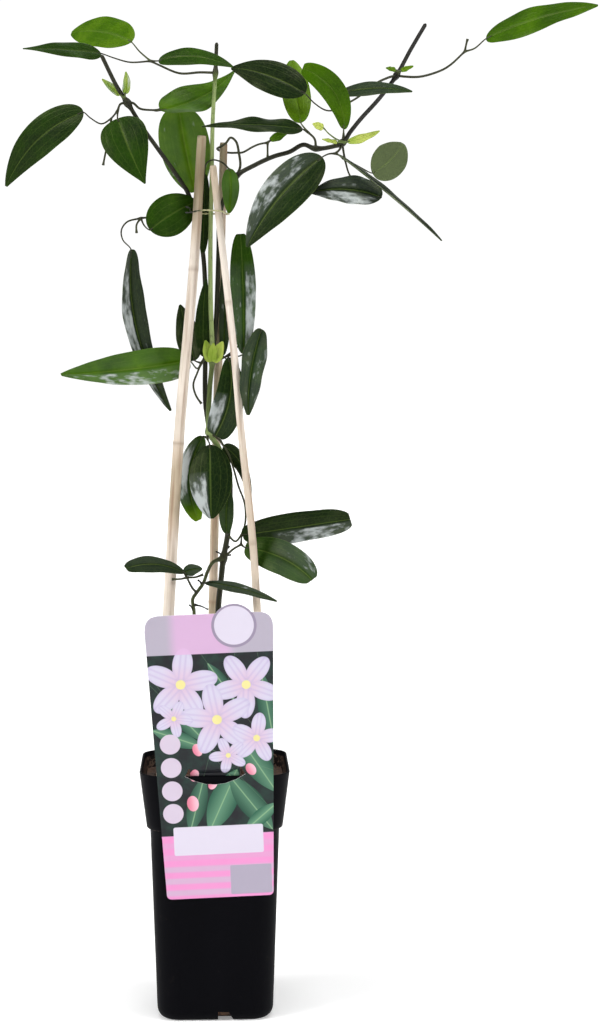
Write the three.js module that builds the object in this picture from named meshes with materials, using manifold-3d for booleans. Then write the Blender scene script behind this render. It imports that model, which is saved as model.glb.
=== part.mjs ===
// A young evergreen clematis in a square nursery pot. It climbs a tripod of three canes, and a label card
// hangs on the pot's rim. Millimetres, +Z up. The origin is on the floor under the middle of the pot, and the
// card faces -Y.
import * as THREE from 'three';
import Module from 'manifold-3d';
import { mergeVertices } from 'three/addons/utils/BufferGeometryUtils.js';

const wasm = await Module();
wasm.setup();

// ---- Driving dimensions ----

const clearance = 0.3; // between pieces that touch
const weldDistance = 1e-4;

const pot = {
  height: 185,
  rimWidth: 110,
  collarFootWidth: 100,
  collarHeight: 42,
  bodyWidth: 95,
  baseWidth: 85.5,
  rimCorner: 20,
  bodyCorner: 18,
  baseCorner: 17,
  footRound: 8,
  footInset: 5.6,
  wall: 1.6,
  floor: 2.4,
  insideRound: { rise: 6, inset: 4, corner: 12 }, // where the walls meet the floor inside
};
const notch = { topWidth: 8, footWidth: 12, height: 7, depth: 14, offset: 6 };
const soil = { top: 173, mound: 2.5, lumpWidth: 7, lumpDepth: 9 };

const canes = {
  cane_left: {
    radii: [3.4, 4.8],
    path: [[-8, -2, 649], [-14, -4.5, 557], [-25.3, -8.5, 432], [-33.8, -12, 297], [-38, -14, 215],
      [-39, -15, 125]],
  },
  cane_right: {
    radii: [2.6, 3],
    path: [[0, -7, 627], [15, -15, 491], [20.2, -18, 432], [28.4, -23, 352], [31.5, -25, 302], [35, -28, 215],
      [36, -29, 125]],
  },
  cane_rear: { radii: [2.9, 3.6], path: [[8, 5, 645], [-1, 30, 295], [-2, 34, 215], [-2, 35, 125]] },
};
const tie = {
  radius: 0.7,
  path: [
    [-20, -10, 597], [-17, -6.5, 596], [-16.8, -2.6, 594.5], [-13.6, 0.9, 592.8], [-8, 2.4, 592.8],
    [-4, 4.8, 593], [1, 8, 593], [3, 12, 593], [7.5, 13.4, 593], [11.5, 10, 593], [11, 3, 593], [8, -5, 593],
    [6.7, -11.9, 593.5], [2, -13.2, 594], [-6, -11.5, 594.5], [-12, -9, 594], [-16, -9.5, 593],
    [-20, -13, 592.5],
  ],
};
const card = {
  height: 212,
  footWidth: 78,
  topWidth: 92,
  thickness: 0.7,
  shoulder: 11,
  footCorner: 4,
  turn: 2.25, // degrees that the top leans to the left
  tilt: 5.8, // degrees that the top leans forward
  foot: [4, -46.2, 94],
};
const lug = { radius: 15.7, centre: [18, 203] };
const slit = { width: 44, end: 92.5, foot: 85.4, top: 98, rootWidth: 38 };
const tongue = { width: 36, foot: 86.5, lap: 1, step: 1.4 };

const stemRadii = { main: [2.3, 1.3], left: [1.9, 1.5], right: [1.7, 1.4], twig: [1.1, 1.3] };
const stemPaths = {
  main: [
    [5, 6, 150], [4, 7, 230], [3, 8, 298], [5, 7, 320], [7, 5, 338], [10, 1, 355], [12, 0, 385],
    [11, -1, 402], [4, -2, 420], [-3, -1, 432], [-3, 0, 462], [-1, 0, 485], [-2, 0, 529], [-2, 0, 573],
    [-1, 0, 617], [0, 0, 661], [2, 0, 695], [3, 1, 717],
  ],
  left: [
    [-3, -1, 432], [-6, 8, 453], [-6, 12, 496], [-6, 13, 539], [-8, 11, 567], [-14, 8, 592], [-18, 6, 607],
    [-24, 4, 617], [-42, -2, 642], [-50, -4, 653], [-62, -8, 672], [-69.5, -20, 683], [-79.5, -32, 703],
  ],
  right: [
    [-1, 0, 485], [2, 4, 515], [3, 4, 537], [4, 4, 566], [5, 3, 592], [10, 2, 608], [17, 1, 620],
    [31, -4, 628], [45, -8, 634], [56, -10, 637], [66, -12, 642], [75, -14, 639], [94, -16, 643],
    [100, -14, 651], [107.5, -8, 660.5], [123, 4, 678], [136, 14, 695.5], [147.5, 25, 716],
    [160, 38, 737],
  ],
  twig: [
    [-12, -3, 150], [-15, -4, 299], [-16, -4, 308], [-13, -4, 313], [-8, -3, 320], [-5, -2, 328],
    [-1, 1, 335], [7, 5, 338],
  ],
};
const stemKnots = [
  [[-3, -1, 432], 3.4], [[-1, 0, 485], 2.8], [[2, 0, 695], 2.2], [[-62, -8, 672], 3.2], [[75, -14, 639], 2.2],
  [[94, -16, 643], 2.8], [[136, 14, 695.5], 2.6], [[7, 5, 338], 3], [[17, 1, 620], 2.3],
];

const stalkRadius = 0.95;
const twigletRadius = 0.75;
const bladeThickness = 0.8;
const smallBlade = 30; // blades shorter than this have fewer facets

// Each leaf has a stalk from the stem to its fork, the leaflets that branch from it, and stubs: thin ends of
// its stalk without a blade. A leaflet runs from base to tip. bend moves the middle of its midrib, face is the
// way its upper side looks, and peak is the share of its length at which it is widest.
const leaves = {
  leaf_top_left: {
    stalk: [[2, 0, 695], [-9, -2, 695], [-24, -4, 694], [-38, -7, 699], [-45, -9, 702]],
    leaflets: [
      { stalk: [[-45, -9, 702], [-53, -8, 709]], base: [-59, -7, 716], tip: [-105.5, 35, 728], width: 30,
        face: [0.1, -1, 0.4], bend: [0, 0, 4] },
      { stalk: [[-45, -9, 702], [-60, -10, 701], [-72, -11, 704]], base: [-81, -12, 707],
        tip: [-134, -55, 704], width: 16, face: [0, -0.85, 0.5], bend: [0, 0, 1], peak: 0.3, wave: 0.6 },
      { stalk: [[-45, -9, 702]], base: [-39, -11, 702], tip: [15, -42, 693.5], width: 16,
        face: [0, -0.85, 0.5], bend: [0, 0, 5] },
    ],
  },
  leaf_left_curled: {
    stalk: [[-62, -8, 672], [-58, -8, 672], [-53, -8, 668], [-41, -6, 667]],
    leaflets: [
      { stalk: [[-41, -6, 667]], base: [-38, -6, 667], tip: [19, 38, 705], width: 31,
        face: [-0.3, -0.9, 0.3], bend: [5, -2, -5], peak: 0.24, fold: 0.3, wave: 1.5, twist: 50 },
      { stalk: [[-41, -6, 667], [-33, 3, 671]], base: [-25, 8, 671], tip: [-13, 30, 610], width: 38,
        face: [-0.2, -1, 0.1], bend: [-1, 2, 0], peak: 0.42, round: 0.42 },
    ],
  },
  leaf_left_hanging: {
    stalk: [[-62, -8, 672], [-67, -10, 671], [-69, -12, 666]],
    leaflets: [
      { stalk: [[-69, -12, 666]], base: [-69, -14, 660], tip: [-48.5, -30, 611.5], width: 34,
        face: [-0.1, -1, 0.1], bend: [-1, -3, 0], peak: 0.28, round: 0.45, fold: 0.12 },
      { stalk: [[-69, -12, 666], [-74, -7, 661], [-81, -7, 657], [-89, -9, 661]], base: [-94, -10, 665],
        tip: [-154, 24, 613], width: 27, face: [0.15, -1, 0.3], bend: [-5, 0, 7] },
    ],
    stubs: [
      [[-74, -7, 661], [-75, -6, 649], [-78, -7, 637], [-80, -8, 627]],
    ],
  },
  leaf_top_right: {
    stalk: [
      [136, 14, 695.5], [142, 12, 694.5], [153, 8, 694], [167.5, 0, 697.5], [174, -5, 701],
      [183.5, -14, 709.5],
    ],
    leaflets: [
      { stalk: [[183.5, -14, 709.5], [190, -20, 711]], base: [197.5, -27, 717], tip: [271.5, -72, 734],
        width: 26.4, face: [-0.15, -0.8, 0.6], bend: [0, 0, 3], wave: 0.8 },
    ],
    stubs: [
      [[183.5, -14, 709.5], [184.5, -14, 714.5], [185.5, -14, 718.5]],
    ],
  },
  leaf_right_middle: {
    stalk: [[136, 14, 695.5], [130, 9, 693.5], [119.5, 3, 688], [106.5, -4, 677.5], [98, -9, 672]],
    leaflets: [
      { stalk: [[98, -9, 672], [94, -11, 675]], base: [93, -13, 679], tip: [143, -45, 676.5], width: 13,
        face: [0, -0.85, 0.5], bend: [0, 0, 3] },
      { stalk: [[98, -9, 672], [91, -9, 668], [83, -10, 667], [74, -12, 672]], base: [67, -13, 679],
        tip: [13, 8, 699.5], width: 27, face: [0.1, -1, 0.3], bend: [0, 0, 4], fold: 0.1 },
    ],
  },
  leaf_right_rising: {
    stalk: [[94, -16, 643], [95, -17, 648]],
    leaflets: [
      { stalk: [[95, -17, 648]], base: [95, -18, 653], tip: [63.5, -38, 694], width: 18,
        face: [-0.4, -1, 0.3], bend: [8, -6, 4], peak: 0.58, fold: 0.3 },
    ],
  },
  leaf_right_pair: {
    stalk: [[75, -14, 639], [74, -14, 646], [69, -14, 651]],
    leaflets: [
      { stalk: [[69, -14, 651]], base: [64, -11, 658], tip: [58.5, 24, 708], width: 21,
        face: [-0.1, -1, 0.2], bend: [0, 1, 0], peak: 0.45 },
      { stalk: [[69, -14, 651]], base: [65, -15, 653], tip: [-9, -28, 653], width: 15,
        face: [0, -0.75, 0.6], bend: [0, -3, 2], peak: 0.3, wave: 1.5, waves: 2.5 },
    ],
  },
  leaf_twining: {
    stalk: [
      [17, 1, 620], [20, -1, 627], [19, -3, 637], [17, -2, 645], [13, -1, 648], [9.5, -0.5, 644],
      [5.5, 0.8, 641.5], [3.2, 5, 640.5], [5, 9, 639.5], [9, 10, 638.5], [13, 8, 637.8], [17, 4, 637.5],
      [22, 0, 637.5], [29, -4, 641], [34, -5, 643], [40, -6, 644],
    ],
    leaflets: [
      { stalk: [[40, -6, 644]], base: [42, -6, 645.5], tip: [56, -3, 653], width: 8,
        face: [-0.4, -0.8, 0.5] },
    ],
    stubs: [
      [[40, -6, 644], [40, -6, 639], [40, -7, 633]],
    ],
  },
  leaf_right_glossy: {
    stalk: [[94, -16, 643], [92, -19, 638], [89, -20, 635]],
    leaflets: [
      { stalk: [[89, -20, 635], [84, -22, 634.5]], base: [79, -24, 632], tip: [23.5, -72, 564], width: 32,
        face: [-0.1, -1, 0.15], bend: [-4, 0, 3], fold: 0.12, wave: 0.8 },
      { stalk: [[89, -20, 635]], base: [91, -21, 634], tip: [160.5, -84, 568], width: 10,
        face: [0.7, -0.5, 0.6], bend: [1, 0, 1], peak: 0.45, fold: 0.45 },
    ],
  },
  leaf_right_low: {
    stalk: [[94, -16, 643], [95, -14, 638], [96, -13, 632]],
    leaflets: [
      { stalk: [[96, -13, 632], [100, -17, 619], [112.5, -28, 607.5]], base: [121, -40, 602],
        tip: [70, -27, 606], width: 27, face: [0.05, -0.8, 0.6], bend: [0, 0, 4], wave: 0.6, waves: 3 },
      { stalk: [[96, -13, 632], [106, -9, 627]], base: [117, -7, 622], tip: [142, 24, 647], width: 26,
        face: [0.1, 1, 0.2], bend: [2, 0, -1], peak: 0.45 },
    ],
  },
  leaf_middle_bud: {
    stalk: [[17, 1, 620], [13.5, -3.5, 623]],
    leaflets: [
      { stalk: [[13.5, -3.5, 623]], base: [12, -5.5, 625], tip: [11.5, -12, 592], width: 13,
        face: [0.2, -1, 0.1], bend: [1, -1, 0], peak: 0.42 },
      { stalk: [[13.5, -3.5, 623], [7, -3.5, 629.5], [0, -4, 631.5], [-5, 1, 629]], base: [-6, 6, 622],
        tip: [-7.5, 9, 564], width: 9, face: [0.1, -1, 0], bend: [0, 1, 0], peak: 0.5 },
    ],
  },
  leaf_left_tendril: {
    stalk: [[-18, 6, 607], [-25, 2, 600], [-35, -1, 594], [-46, -3, 590], [-53, -5, 589]],
    leaflets: [
      { stalk: [[-53, -5, 589], [-50, -8, 583]], base: [-46, -10, 580], tip: [-12.5, 6, 602], width: 30,
        face: [0.2, -1, 0.1], bend: [-1, -1, 1], peak: 0.45 },
      { stalk: [[-53, -5, 589], [-63, -7, 586], [-67, -8, 580], [-66, -8, 573]], base: [-60, -8, 566],
        tip: [-31, 14, 446], width: 20, face: [0.5, -1, 0], bend: [-11, 4, 0], peak: 0.32, round: 0.4,
        fold: 0.35, wave: 1, twist: 60 },
    ],
    stubs: [
      [[-53, -5, 589], [-56, -6, 584], [-56, -7, 578]],
    ],
  },
  leaf_centre_left: {
    stalk: [[-1, 0, 485], [-6, 3, 486], [-9, 4, 483]],
    leaflets: [
      { stalk: [[-9, 4, 483], [-12, 4, 479]], base: [-18, 6, 485], tip: [-109, -62, 475], width: 30,
        face: [0, -0.9, 0.45], bend: [0, 10, -2], peak: 0.32, round: 0.4, fold: 0.2 },
      { stalk: [[-9, 4, 483]], base: [-14, 5, 485], tip: [-25, 22, 527], width: 19, face: [-0.3, -1, 0.1],
        bend: [0, 1, 0] },
      { stalk: [[-9, 4, 483]], base: [-7, 6, 488], tip: [-5, 6, 546], width: 12, face: [-0.15, -1, 0],
        bend: [-1.5, 0, 0], fold: 0.1 },
    ],
    stubs: [
      [[-9, 4, 483], [-12, 3, 476], [-15, 1, 467], [-13, 0, 459], [-9, 0, 453]],
    ],
  },
  leaf_centre_right: {
    stalk: [[-1, 0, 485], [5, -3, 486], [11, -5, 489]],
    leaflets: [
      { stalk: [[11, -5, 489], [18, -5, 488]], base: [22, -5, 490], tip: [20, -1, 579], width: 19,
        face: [0.1, -1, 0], bend: [1, 1, 0], peak: 0.55, fold: 0.15 },
      { stalk: [[11, -5, 489], [20, -3, 497]], base: [35.5, -4, 508], tip: [25, -26, 444.5], width: 19,
        face: [0.4, -1, 0], bend: [-3, 0, 0], peak: 0.4, round: 0.5, fold: 0.3, wave: 1.6, waves: 2.5 },
      { stalk: [[11, -5, 489]], base: [11, -7, 487], tip: [1, -10, 429], width: 23, face: [-0.2, -1, 0],
        bend: [6, -1, 0], peak: 0.66, fold: 0.25 },
      { stalk: [[11, -5, 489], [10, 2, 486]], base: [7, 7, 489], tip: [8.5, 6.5, 553], width: 9,
        face: [0.1, -1, 0], bend: [1, 0, 0], peak: 0.5 },
    ],
  },
  leaf_low_left: {
    stalk: [[-3, -1, 432], [-5, -4, 428]],
    leaflets: [
      { stalk: [[-5, -4, 428]], base: [-3, -7, 423], tip: [-2, -24, 369], width: 32,
        face: [-0.1, -1, 0.1], bend: [0, -4, 0], peak: 0.42, fold: -0.1 },
      { stalk: [[-5, -4, 428]], base: [-8, -2, 429], tip: [-11, -4, 366], width: 22, face: [-0.6, -1, 0],
        bend: [-8, 1, 0], peak: 0.5 },
    ],
  },
  leaf_low_right: {
    stalk: [[-3, -1, 432], [1, -4, 429], [5, -6, 426]],
    leaflets: [
      { stalk: [[5, -6, 426]], base: [7, -6.5, 422], tip: [27, -9, 360], width: 13, face: [-0.8, -0.6, 0],
        bend: [7, 0, 9], peak: 0.3, fold: 0.3, twist: 60 },
    ],
    stubs: [
      [[5, -6, 426], [11, -7, 416], [15, -7, 404], [18, -7, 393], [23, -5.5, 378], [22.3, -3, 361],
       [16, -2.8, 351], [11, -5, 355]],
    ],
  },
  leaf_low_small: {
    stalk: [[10, 1, 355], [9.5, -2, 356]],
    leaflets: [
      { stalk: [[9.5, -2, 356]], base: [9.5, -4, 357], tip: [11, -7, 389], width: 11, face: [-0.2, -1, 0],
        bend: [-1, -1, 0], peak: 0.5 },
    ],
  },
  leaf_foot_right: {
    stalk: [[7, 5, 338], [14, -2, 345], [20, -7, 349]],
    leaflets: [
      { stalk: [[20, -7, 349]], base: [21, -8, 356], tip: [104, 26, 365], width: 24, face: [0, -0.9, 0.4],
        bend: [0, 0, 0], peak: 0.52, round: 0.35, fold: 0.15, wave: 0.8 },
      { stalk: [[20, -7, 349]], base: [23, -9, 347], tip: [71.5, -42, 325.5], width: 26,
        face: [0.15, -1, 0.3], bend: [3, 0, 4], peak: 0.5, round: 0.4 },
    ],
  },
  leaf_foot_front: {
    stalk: [[-8, -3, 320], [-8, -6, 320.5]],
    leaflets: [
      { stalk: [[-8, -6, 320.5]], base: [-6, -9, 321], tip: [46, -49, 311], width: 9,
        face: [0.1, -0.8, 0.6], bend: [0, -8, 3] },
    ],
  },
  leaf_foot_left: {
    stalk: [[-13, -4, 313], [-16, -10, 317], [-20, -20, 326]],
    leaflets: [
      { stalk: [[-20, -20, 326]], base: [-22, -23, 330], tip: [-63.5, -56, 336], width: 14,
        face: [-0.1, -0.85, 0.5], bend: [0, 0, 4.5], peak: 0.62, round: 0.7 },
      { stalk: [[-20, -20, 326]], base: [-22, -20, 329.5], tip: [-8.5, -19, 332], width: 10,
        face: [0, -0.8, 0.6], bend: [0, 0, 1] },
    ],
    stubs: [
      [[-20, -20, 326], [-25, -21, 325], [-31, -22, 325]],
      [[-20, -20, 326], [-14, -19, 326], [-8, -19, 328]],
    ],
  },
  shoot_left: {
    stalk: [[-62, -8, 672], [-64, -14, 675]],
    leaflets: [
      { stalk: [[-64, -14, 675]], base: [-67, -15, 677], tip: [-80, -18, 688], width: 5.5,
        face: [-0.3, -1, 0.4] },
      { stalk: [[-64, -14, 675]], base: [-63.5, -14.5, 678], tip: [-63, -13, 694], width: 6,
        face: [0.4, -1, 0], bend: [1, 0, 0] },
    ],
  },
  shoot_right: {
    stalk: [[94, -16, 643], [96, -19, 643]],
    leaflets: [
      { stalk: [[96, -19, 643]], base: [98, -20, 643.5], tip: [121, -25, 651], width: 8,
        face: [0, -0.8, 0.6], bend: [0, 0, -1] },
      { stalk: [[96, -19, 643], [90, -21, 645], [84, -22, 649]], base: [80, -23, 653],
        tip: [72, -24, 656], width: 6, face: [0, -1, 0.4] },
      { stalk: [[96, -19, 643]], base: [90, -21, 643], tip: [79, -23, 645], width: 4,
        face: [0, -0.8, 0.6] },
    ],
  },
  shoot_top_right: {
    stalk: [[136, 14, 695.5], [137, 10, 697.5]],
    leaflets: [
      { stalk: [[137, 10, 697.5]], base: [139, 9, 698.5], tip: [148, 6, 701.5], width: 4,
        face: [0, -1, 0.4] },
      { stalk: [[137, 10, 697.5]], base: [135, 9, 699], tip: [127.5, 6, 700], width: 4,
        face: [0, -1, 0.4] },
    ],
  },
  shoot_centre: {
    stalk: [[-1, 0, 485], [-1, -3, 484]],
    leaflets: [
      { stalk: [[-1, -3, 484]], base: [0, -5, 484], tip: [7, -9, 499], width: 10, face: [-0.3, -1, 0.3] },
      { stalk: [[-1, -3, 484]], base: [-2, -5, 484], tip: [-6, -8, 500], width: 9, face: [0.3, -1, 0.3] },
      { stalk: [[-1, -3, 484]], base: [-1, -5.5, 484], tip: [0, -12, 498], width: 7, face: [0, -1, 0.4] },
    ],
  },
};

const colours = {
  pot: { color: 0x0d0d0e, roughness: 0.35 },
  soil: { color: 0x2c2018, roughness: 1 },
  cane: { color: 0xdcc6ac, roughness: 0.7 },
  tie: { color: 0x1d211c, roughness: 0.6 },
  card: { color: 0xe9b6d8, roughness: 0.35 },
  stem: { color: 0x3f4230, roughness: 0.6 },
  leaf: { color: 0x24401a, roughness: 0.3 },
  shoot: { color: 0x8fa64a, roughness: 0.5 },
};

// ---- Geometry helpers ----

const vector = (p) => new THREE.Vector3(...p);

// A closed geometry as a solid: only its positions count, and points that coincide become one.
function solidOf(geometry) {
  const bare = geometry.clone();
  bare.deleteAttribute('normal');
  bare.deleteAttribute('uv');
  const merged = mergeVertices(bare, weldDistance);
  return new wasm.Manifold(new wasm.Mesh({
    numProp: 3,
    vertProperties: new Float32Array(merged.attributes.position.array),
    triVerts: new Uint32Array(merged.index.array),
  }));
}

function geometryOf(solid) {
  const mesh = solid.getMesh();
  const geometry = new THREE.BufferGeometry();
  geometry.setAttribute('position', new THREE.BufferAttribute(mesh.vertProperties, 3));
  geometry.setIndex(new THREE.BufferAttribute(mesh.triVerts, 1));
  geometry.computeVertexNormals();
  return geometry;
}

const joined = (geometries) => geometries.map(solidOf).reduce((whole, piece) => whole.add(piece));

// A closed skin through a stack of rings that each hold the same number of points, with a fan at both ends.
function loft(rings) {
  const count = rings[0].length;
  const points = rings.flat();
  const faces = [];
  for (let r = 0; r + 1 < rings.length; r += 1) {
    for (let i = 0; i < count; i += 1) {
      const a = r * count + i;
      const b = r * count + (i + 1) % count;
      faces.push(a, b, b + count, a, b + count, a + count);
    }
  }
  const last = (rings.length - 1) * count;
  for (let i = 1; i + 1 < count; i += 1) {
    faces.push(0, i + 1, i);
    faces.push(last, last + i, last + i + 1);
  }
  const geometry = new THREE.BufferGeometry().setFromPoints(points);
  geometry.setIndex(faces);
  return geometry;
}

// The outline of a square with round corners, level at height z.
function roundedSquare(width, corner, z, steps = 4) {
  const reach = width / 2 - corner;
  const ring = [];
  for (let side = 0; side < 4; side += 1) {
    for (let i = 0; i <= steps; i += 1) {
      const angle = (side + i / steps) * Math.PI / 2;
      const centre = (side + 0.5) * Math.PI / 2;
      const x = Math.sign(Math.cos(centre)) * reach + corner * Math.cos(angle);
      const y = Math.sign(Math.sin(centre)) * reach + corner * Math.sin(angle);
      ring.push(new THREE.Vector3(x, y, z));
    }
  }
  return ring;
}

// A round tube along a smooth curve through the points, tapered evenly between two radii.
function tube(points, radii, sides, spacing) {
  const curve = new THREE.CatmullRomCurve3(points.map(vector), false, 'centripetal');
  const steps = Math.max(2, Math.round(curve.getLength() / spacing));
  const section = new THREE.Shape();
  for (let i = 0; i < sides; i += 1) {
    const angle = i / sides * 2 * Math.PI;
    const x = radii[0] * Math.cos(angle);
    const y = radii[0] * Math.sin(angle);
    if (i === 0) {
      section.moveTo(x, y);
    } else {
      section.lineTo(x, y);
    }
  }
  section.closePath();
  const geometry = new THREE.ExtrudeGeometry(section, { steps, extrudePath: curve, bevelEnabled: false });
  const centres = curve.getSpacedPoints(steps);
  const place = geometry.attributes.position;
  const point = new THREE.Vector3();
  for (let i = 0; i < place.count; i += 1) {
    point.fromBufferAttribute(place, i);
    const distances = centres.map((centre) => centre.distanceTo(point));
    const nearest = distances.indexOf(Math.min(...distances));
    const radius = THREE.MathUtils.lerp(radii[0], radii[1], nearest / steps);
    point.sub(centres[nearest]).multiplyScalar(radius / radii[0]).add(centres[nearest]);
    place.setXYZ(i, point.x, point.y, point.z);
  }
  return geometry;
}

// ---- Leaves ----

// The share of the full width at t along a blade: it rises quickly from a round base to the widest place, and
// then narrows to a long point. A smaller value of round makes both ends blunter.
function outline(t, { peak = 0.37, round = 0.55 }) {
  const tipSharpness = round * (1 - peak) / peak;
  return (t / peak) ** round * ((1 - t) / (1 - peak)) ** tipSharpness;
}

function midribPoint(leaflet, t) {
  const { base, tip, bend = [0, 0, 0] } = leaflet;
  return vector(base).lerp(vector(tip), t).addScaledVector(vector(bend), 4 * t * (1 - t));
}

// A thin blade: the midrib's curve, with both halves folded up from it, cupped back and waved towards the
// edge. The upper and lower faces hold the same grid, split into the same triangles, with a wall round the
// edge.
function blade(leaflet) {
  const { base, tip, bend = [0, 0, 0], face, width } = leaflet;
  const { fold = 0.16, wave = 0.4, waves = 2, twist = 0 } = leaflet;
  const long = vector(tip).distanceTo(vector(base));
  const small = long < smallBlade;
  const rows = small ? 3 : 6;
  const across = small ? [-1, 0, 1] : [-1, -0.5, 0, 0.5, 1];
  const rootHalf = 0.8;
  const tipHalf = 0.6;
  const cup = 0.12;
  const upper = [];
  const lower = [];
  for (let i = 0; i <= rows; i += 1) {
    const t = (1 - Math.cos(Math.PI * i / rows)) / 2;
    const along = vector(tip).sub(vector(base)).addScaledVector(vector(bend), 4 * (1 - 2 * t)).normalize();
    const up = vector(face).addScaledVector(along, -vector(face).dot(along)).normalize();
    up.applyAxisAngle(along, THREE.MathUtils.degToRad(twist * (t - 0.5)));
    const side = new THREE.Vector3().crossVectors(along, up);
    const half = width / 2 * outline(t, leaflet) + rootHalf * (1 - t) ** 6 + tipHalf * t ** 6;
    const ripple = wave * outline(t, leaflet) * Math.sin(2 * Math.PI * waves * t);
    for (const v of across) {
      const lift = half * (fold * Math.abs(v) - cup * v * v) + ripple * v * v * (v > 0 ? 1 : -0.7);
      const point = midribPoint(leaflet, t).addScaledVector(side, v * half).addScaledVector(up, lift);
      upper.push(point.clone().addScaledVector(up, bladeThickness / 2));
      lower.push(point.addScaledVector(up, -bladeThickness / 2));
    }
  }
  const columns = across.length;
  const under = upper.length;
  const faces = [];
  for (let i = 0; i < rows; i += 1) {
    for (let j = 0; j + 1 < columns; j += 1) {
      const a = i * columns + j;
      const c = a + columns + 1;
      faces.push(a, a + 1, c, a, c, a + columns);
      faces.push(under + a, under + c, under + a + 1, under + a, under + a + columns, under + c);
    }
  }
  const rim = [];
  for (let j = 0; j < columns; j += 1) rim.push(j);
  for (let i = 1; i <= rows; i += 1) rim.push(i * columns + columns - 1);
  for (let j = columns - 2; j >= 0; j -= 1) rim.push(rows * columns + j);
  for (let i = rows - 1; i > 0; i -= 1) rim.push(i * columns);
  rim.forEach((a, k) => {
    const b = rim[(k + 1) % rim.length];
    faces.push(a, under + b, b, a, under + a, under + b);
  });
  const geometry = new THREE.BufferGeometry().setFromPoints([...upper, ...lower]);
  geometry.setIndex(faces);
  return geometry;
}

// A leaflet's own stalk ends a little way in, under the blade's midrib.
function leafletStalk(leaflet) {
  const points = [...leaflet.stalk, leaflet.base, midribPoint(leaflet, 0.06).toArray()];
  return tube(points, [twigletRadius, twigletRadius * 0.8], 3, 8);
}

function leafSolid({ stalk, leaflets, stubs = [] }) {
  return joined([
    tube(stalk, [stalkRadius, twigletRadius], 4, 7),
    ...leaflets.map(blade),
    ...leaflets.map(leafletStalk),
    ...stubs.map((points) => tube(points, [twigletRadius, twigletRadius], 3, 7)),
  ]);
}

// ---- Stems and canes ----

// The stems with all of their skin moved out by a margin, for the solid itself or for what keeps clear of it.
function vineSolid(margin = 0) {
  const stems = Object.keys(stemPaths).map((name) => {
    const radii = stemRadii[name].map((radius) => radius + margin);
    return tube(stemPaths[name], radii, 6, 18);
  });
  const knots = stemKnots.map(([centre, radius]) => {
    return new THREE.IcosahedronGeometry(radius + margin, 0).translate(...centre);
  });
  return joined([...stems, ...knots]);
}

function caneSolid({ path, radii }, margin = 0) {
  return solidOf(tube(path, radii.map((radius) => radius + margin), 8, 45));
}

// ---- Pot and soil ----

const bodyHeight = pot.height - pot.collarHeight;

function bodyWidthAt(z) {
  return THREE.MathUtils.lerp(pot.baseWidth, pot.bodyWidth, z / bodyHeight);
}

function bodyCornerAt(z) {
  return THREE.MathUtils.lerp(pot.baseCorner, pot.bodyCorner, z / bodyHeight);
}

function potSolid() {
  const rings = [];
  for (const share of [0, 0.35, 0.7, 1]) {
    const z = pot.footRound * (1 - Math.cos(share * Math.PI / 2));
    const inset = pot.footInset * (1 - Math.sin(share * Math.PI / 2));
    rings.push(roundedSquare(bodyWidthAt(z) - 2 * inset, pot.baseCorner - inset, z));
  }
  rings.push(roundedSquare(pot.bodyWidth, pot.bodyCorner, bodyHeight));
  rings.push(roundedSquare(pot.collarFootWidth, pot.rimCorner, bodyHeight));
  rings.push(roundedSquare(pot.rimWidth, pot.rimCorner, pot.height));
  const thick = 2 * pot.wall;
  rings.push(roundedSquare(pot.rimWidth - thick, pot.rimCorner - pot.wall, pot.height));
  rings.push(roundedSquare(pot.collarFootWidth - thick, pot.rimCorner - pot.wall, bodyHeight + pot.wall));
  rings.push(roundedSquare(pot.bodyWidth - thick, pot.bodyCorner - pot.wall, bodyHeight + pot.wall));
  const { rise, inset: insideInset, corner } = pot.insideRound;
  const foot = pot.floor + rise;
  rings.push(roundedSquare(bodyWidthAt(foot) - thick, bodyCornerAt(foot) - pot.wall, foot));
  rings.push(roundedSquare(bodyWidthAt(pot.floor) - thick - 2 * insideInset, corner, pot.floor));
  let solid = solidOf(loft(rings));
  const cut = new THREE.Shape([
    new THREE.Vector2(-notch.topWidth / 2, notch.height),
    new THREE.Vector2(-notch.topWidth / 2, -1),
    new THREE.Vector2(notch.footWidth - notch.topWidth / 2, -1),
    new THREE.Vector2(notch.topWidth / 2, notch.height),
  ]);
  for (let side = 0; side < 4; side += 1) {
    const wedge = new THREE.ExtrudeGeometry(cut, { depth: notch.depth, bevelEnabled: false });
    wedge.rotateX(Math.PI / 2).translate(notch.offset, notch.depth - pot.baseWidth / 2 - 1, 0);
    wedge.rotateZ(side * Math.PI / 2);
    solid = solid.subtract(solidOf(wedge));
  }
  return solid;
}

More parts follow.
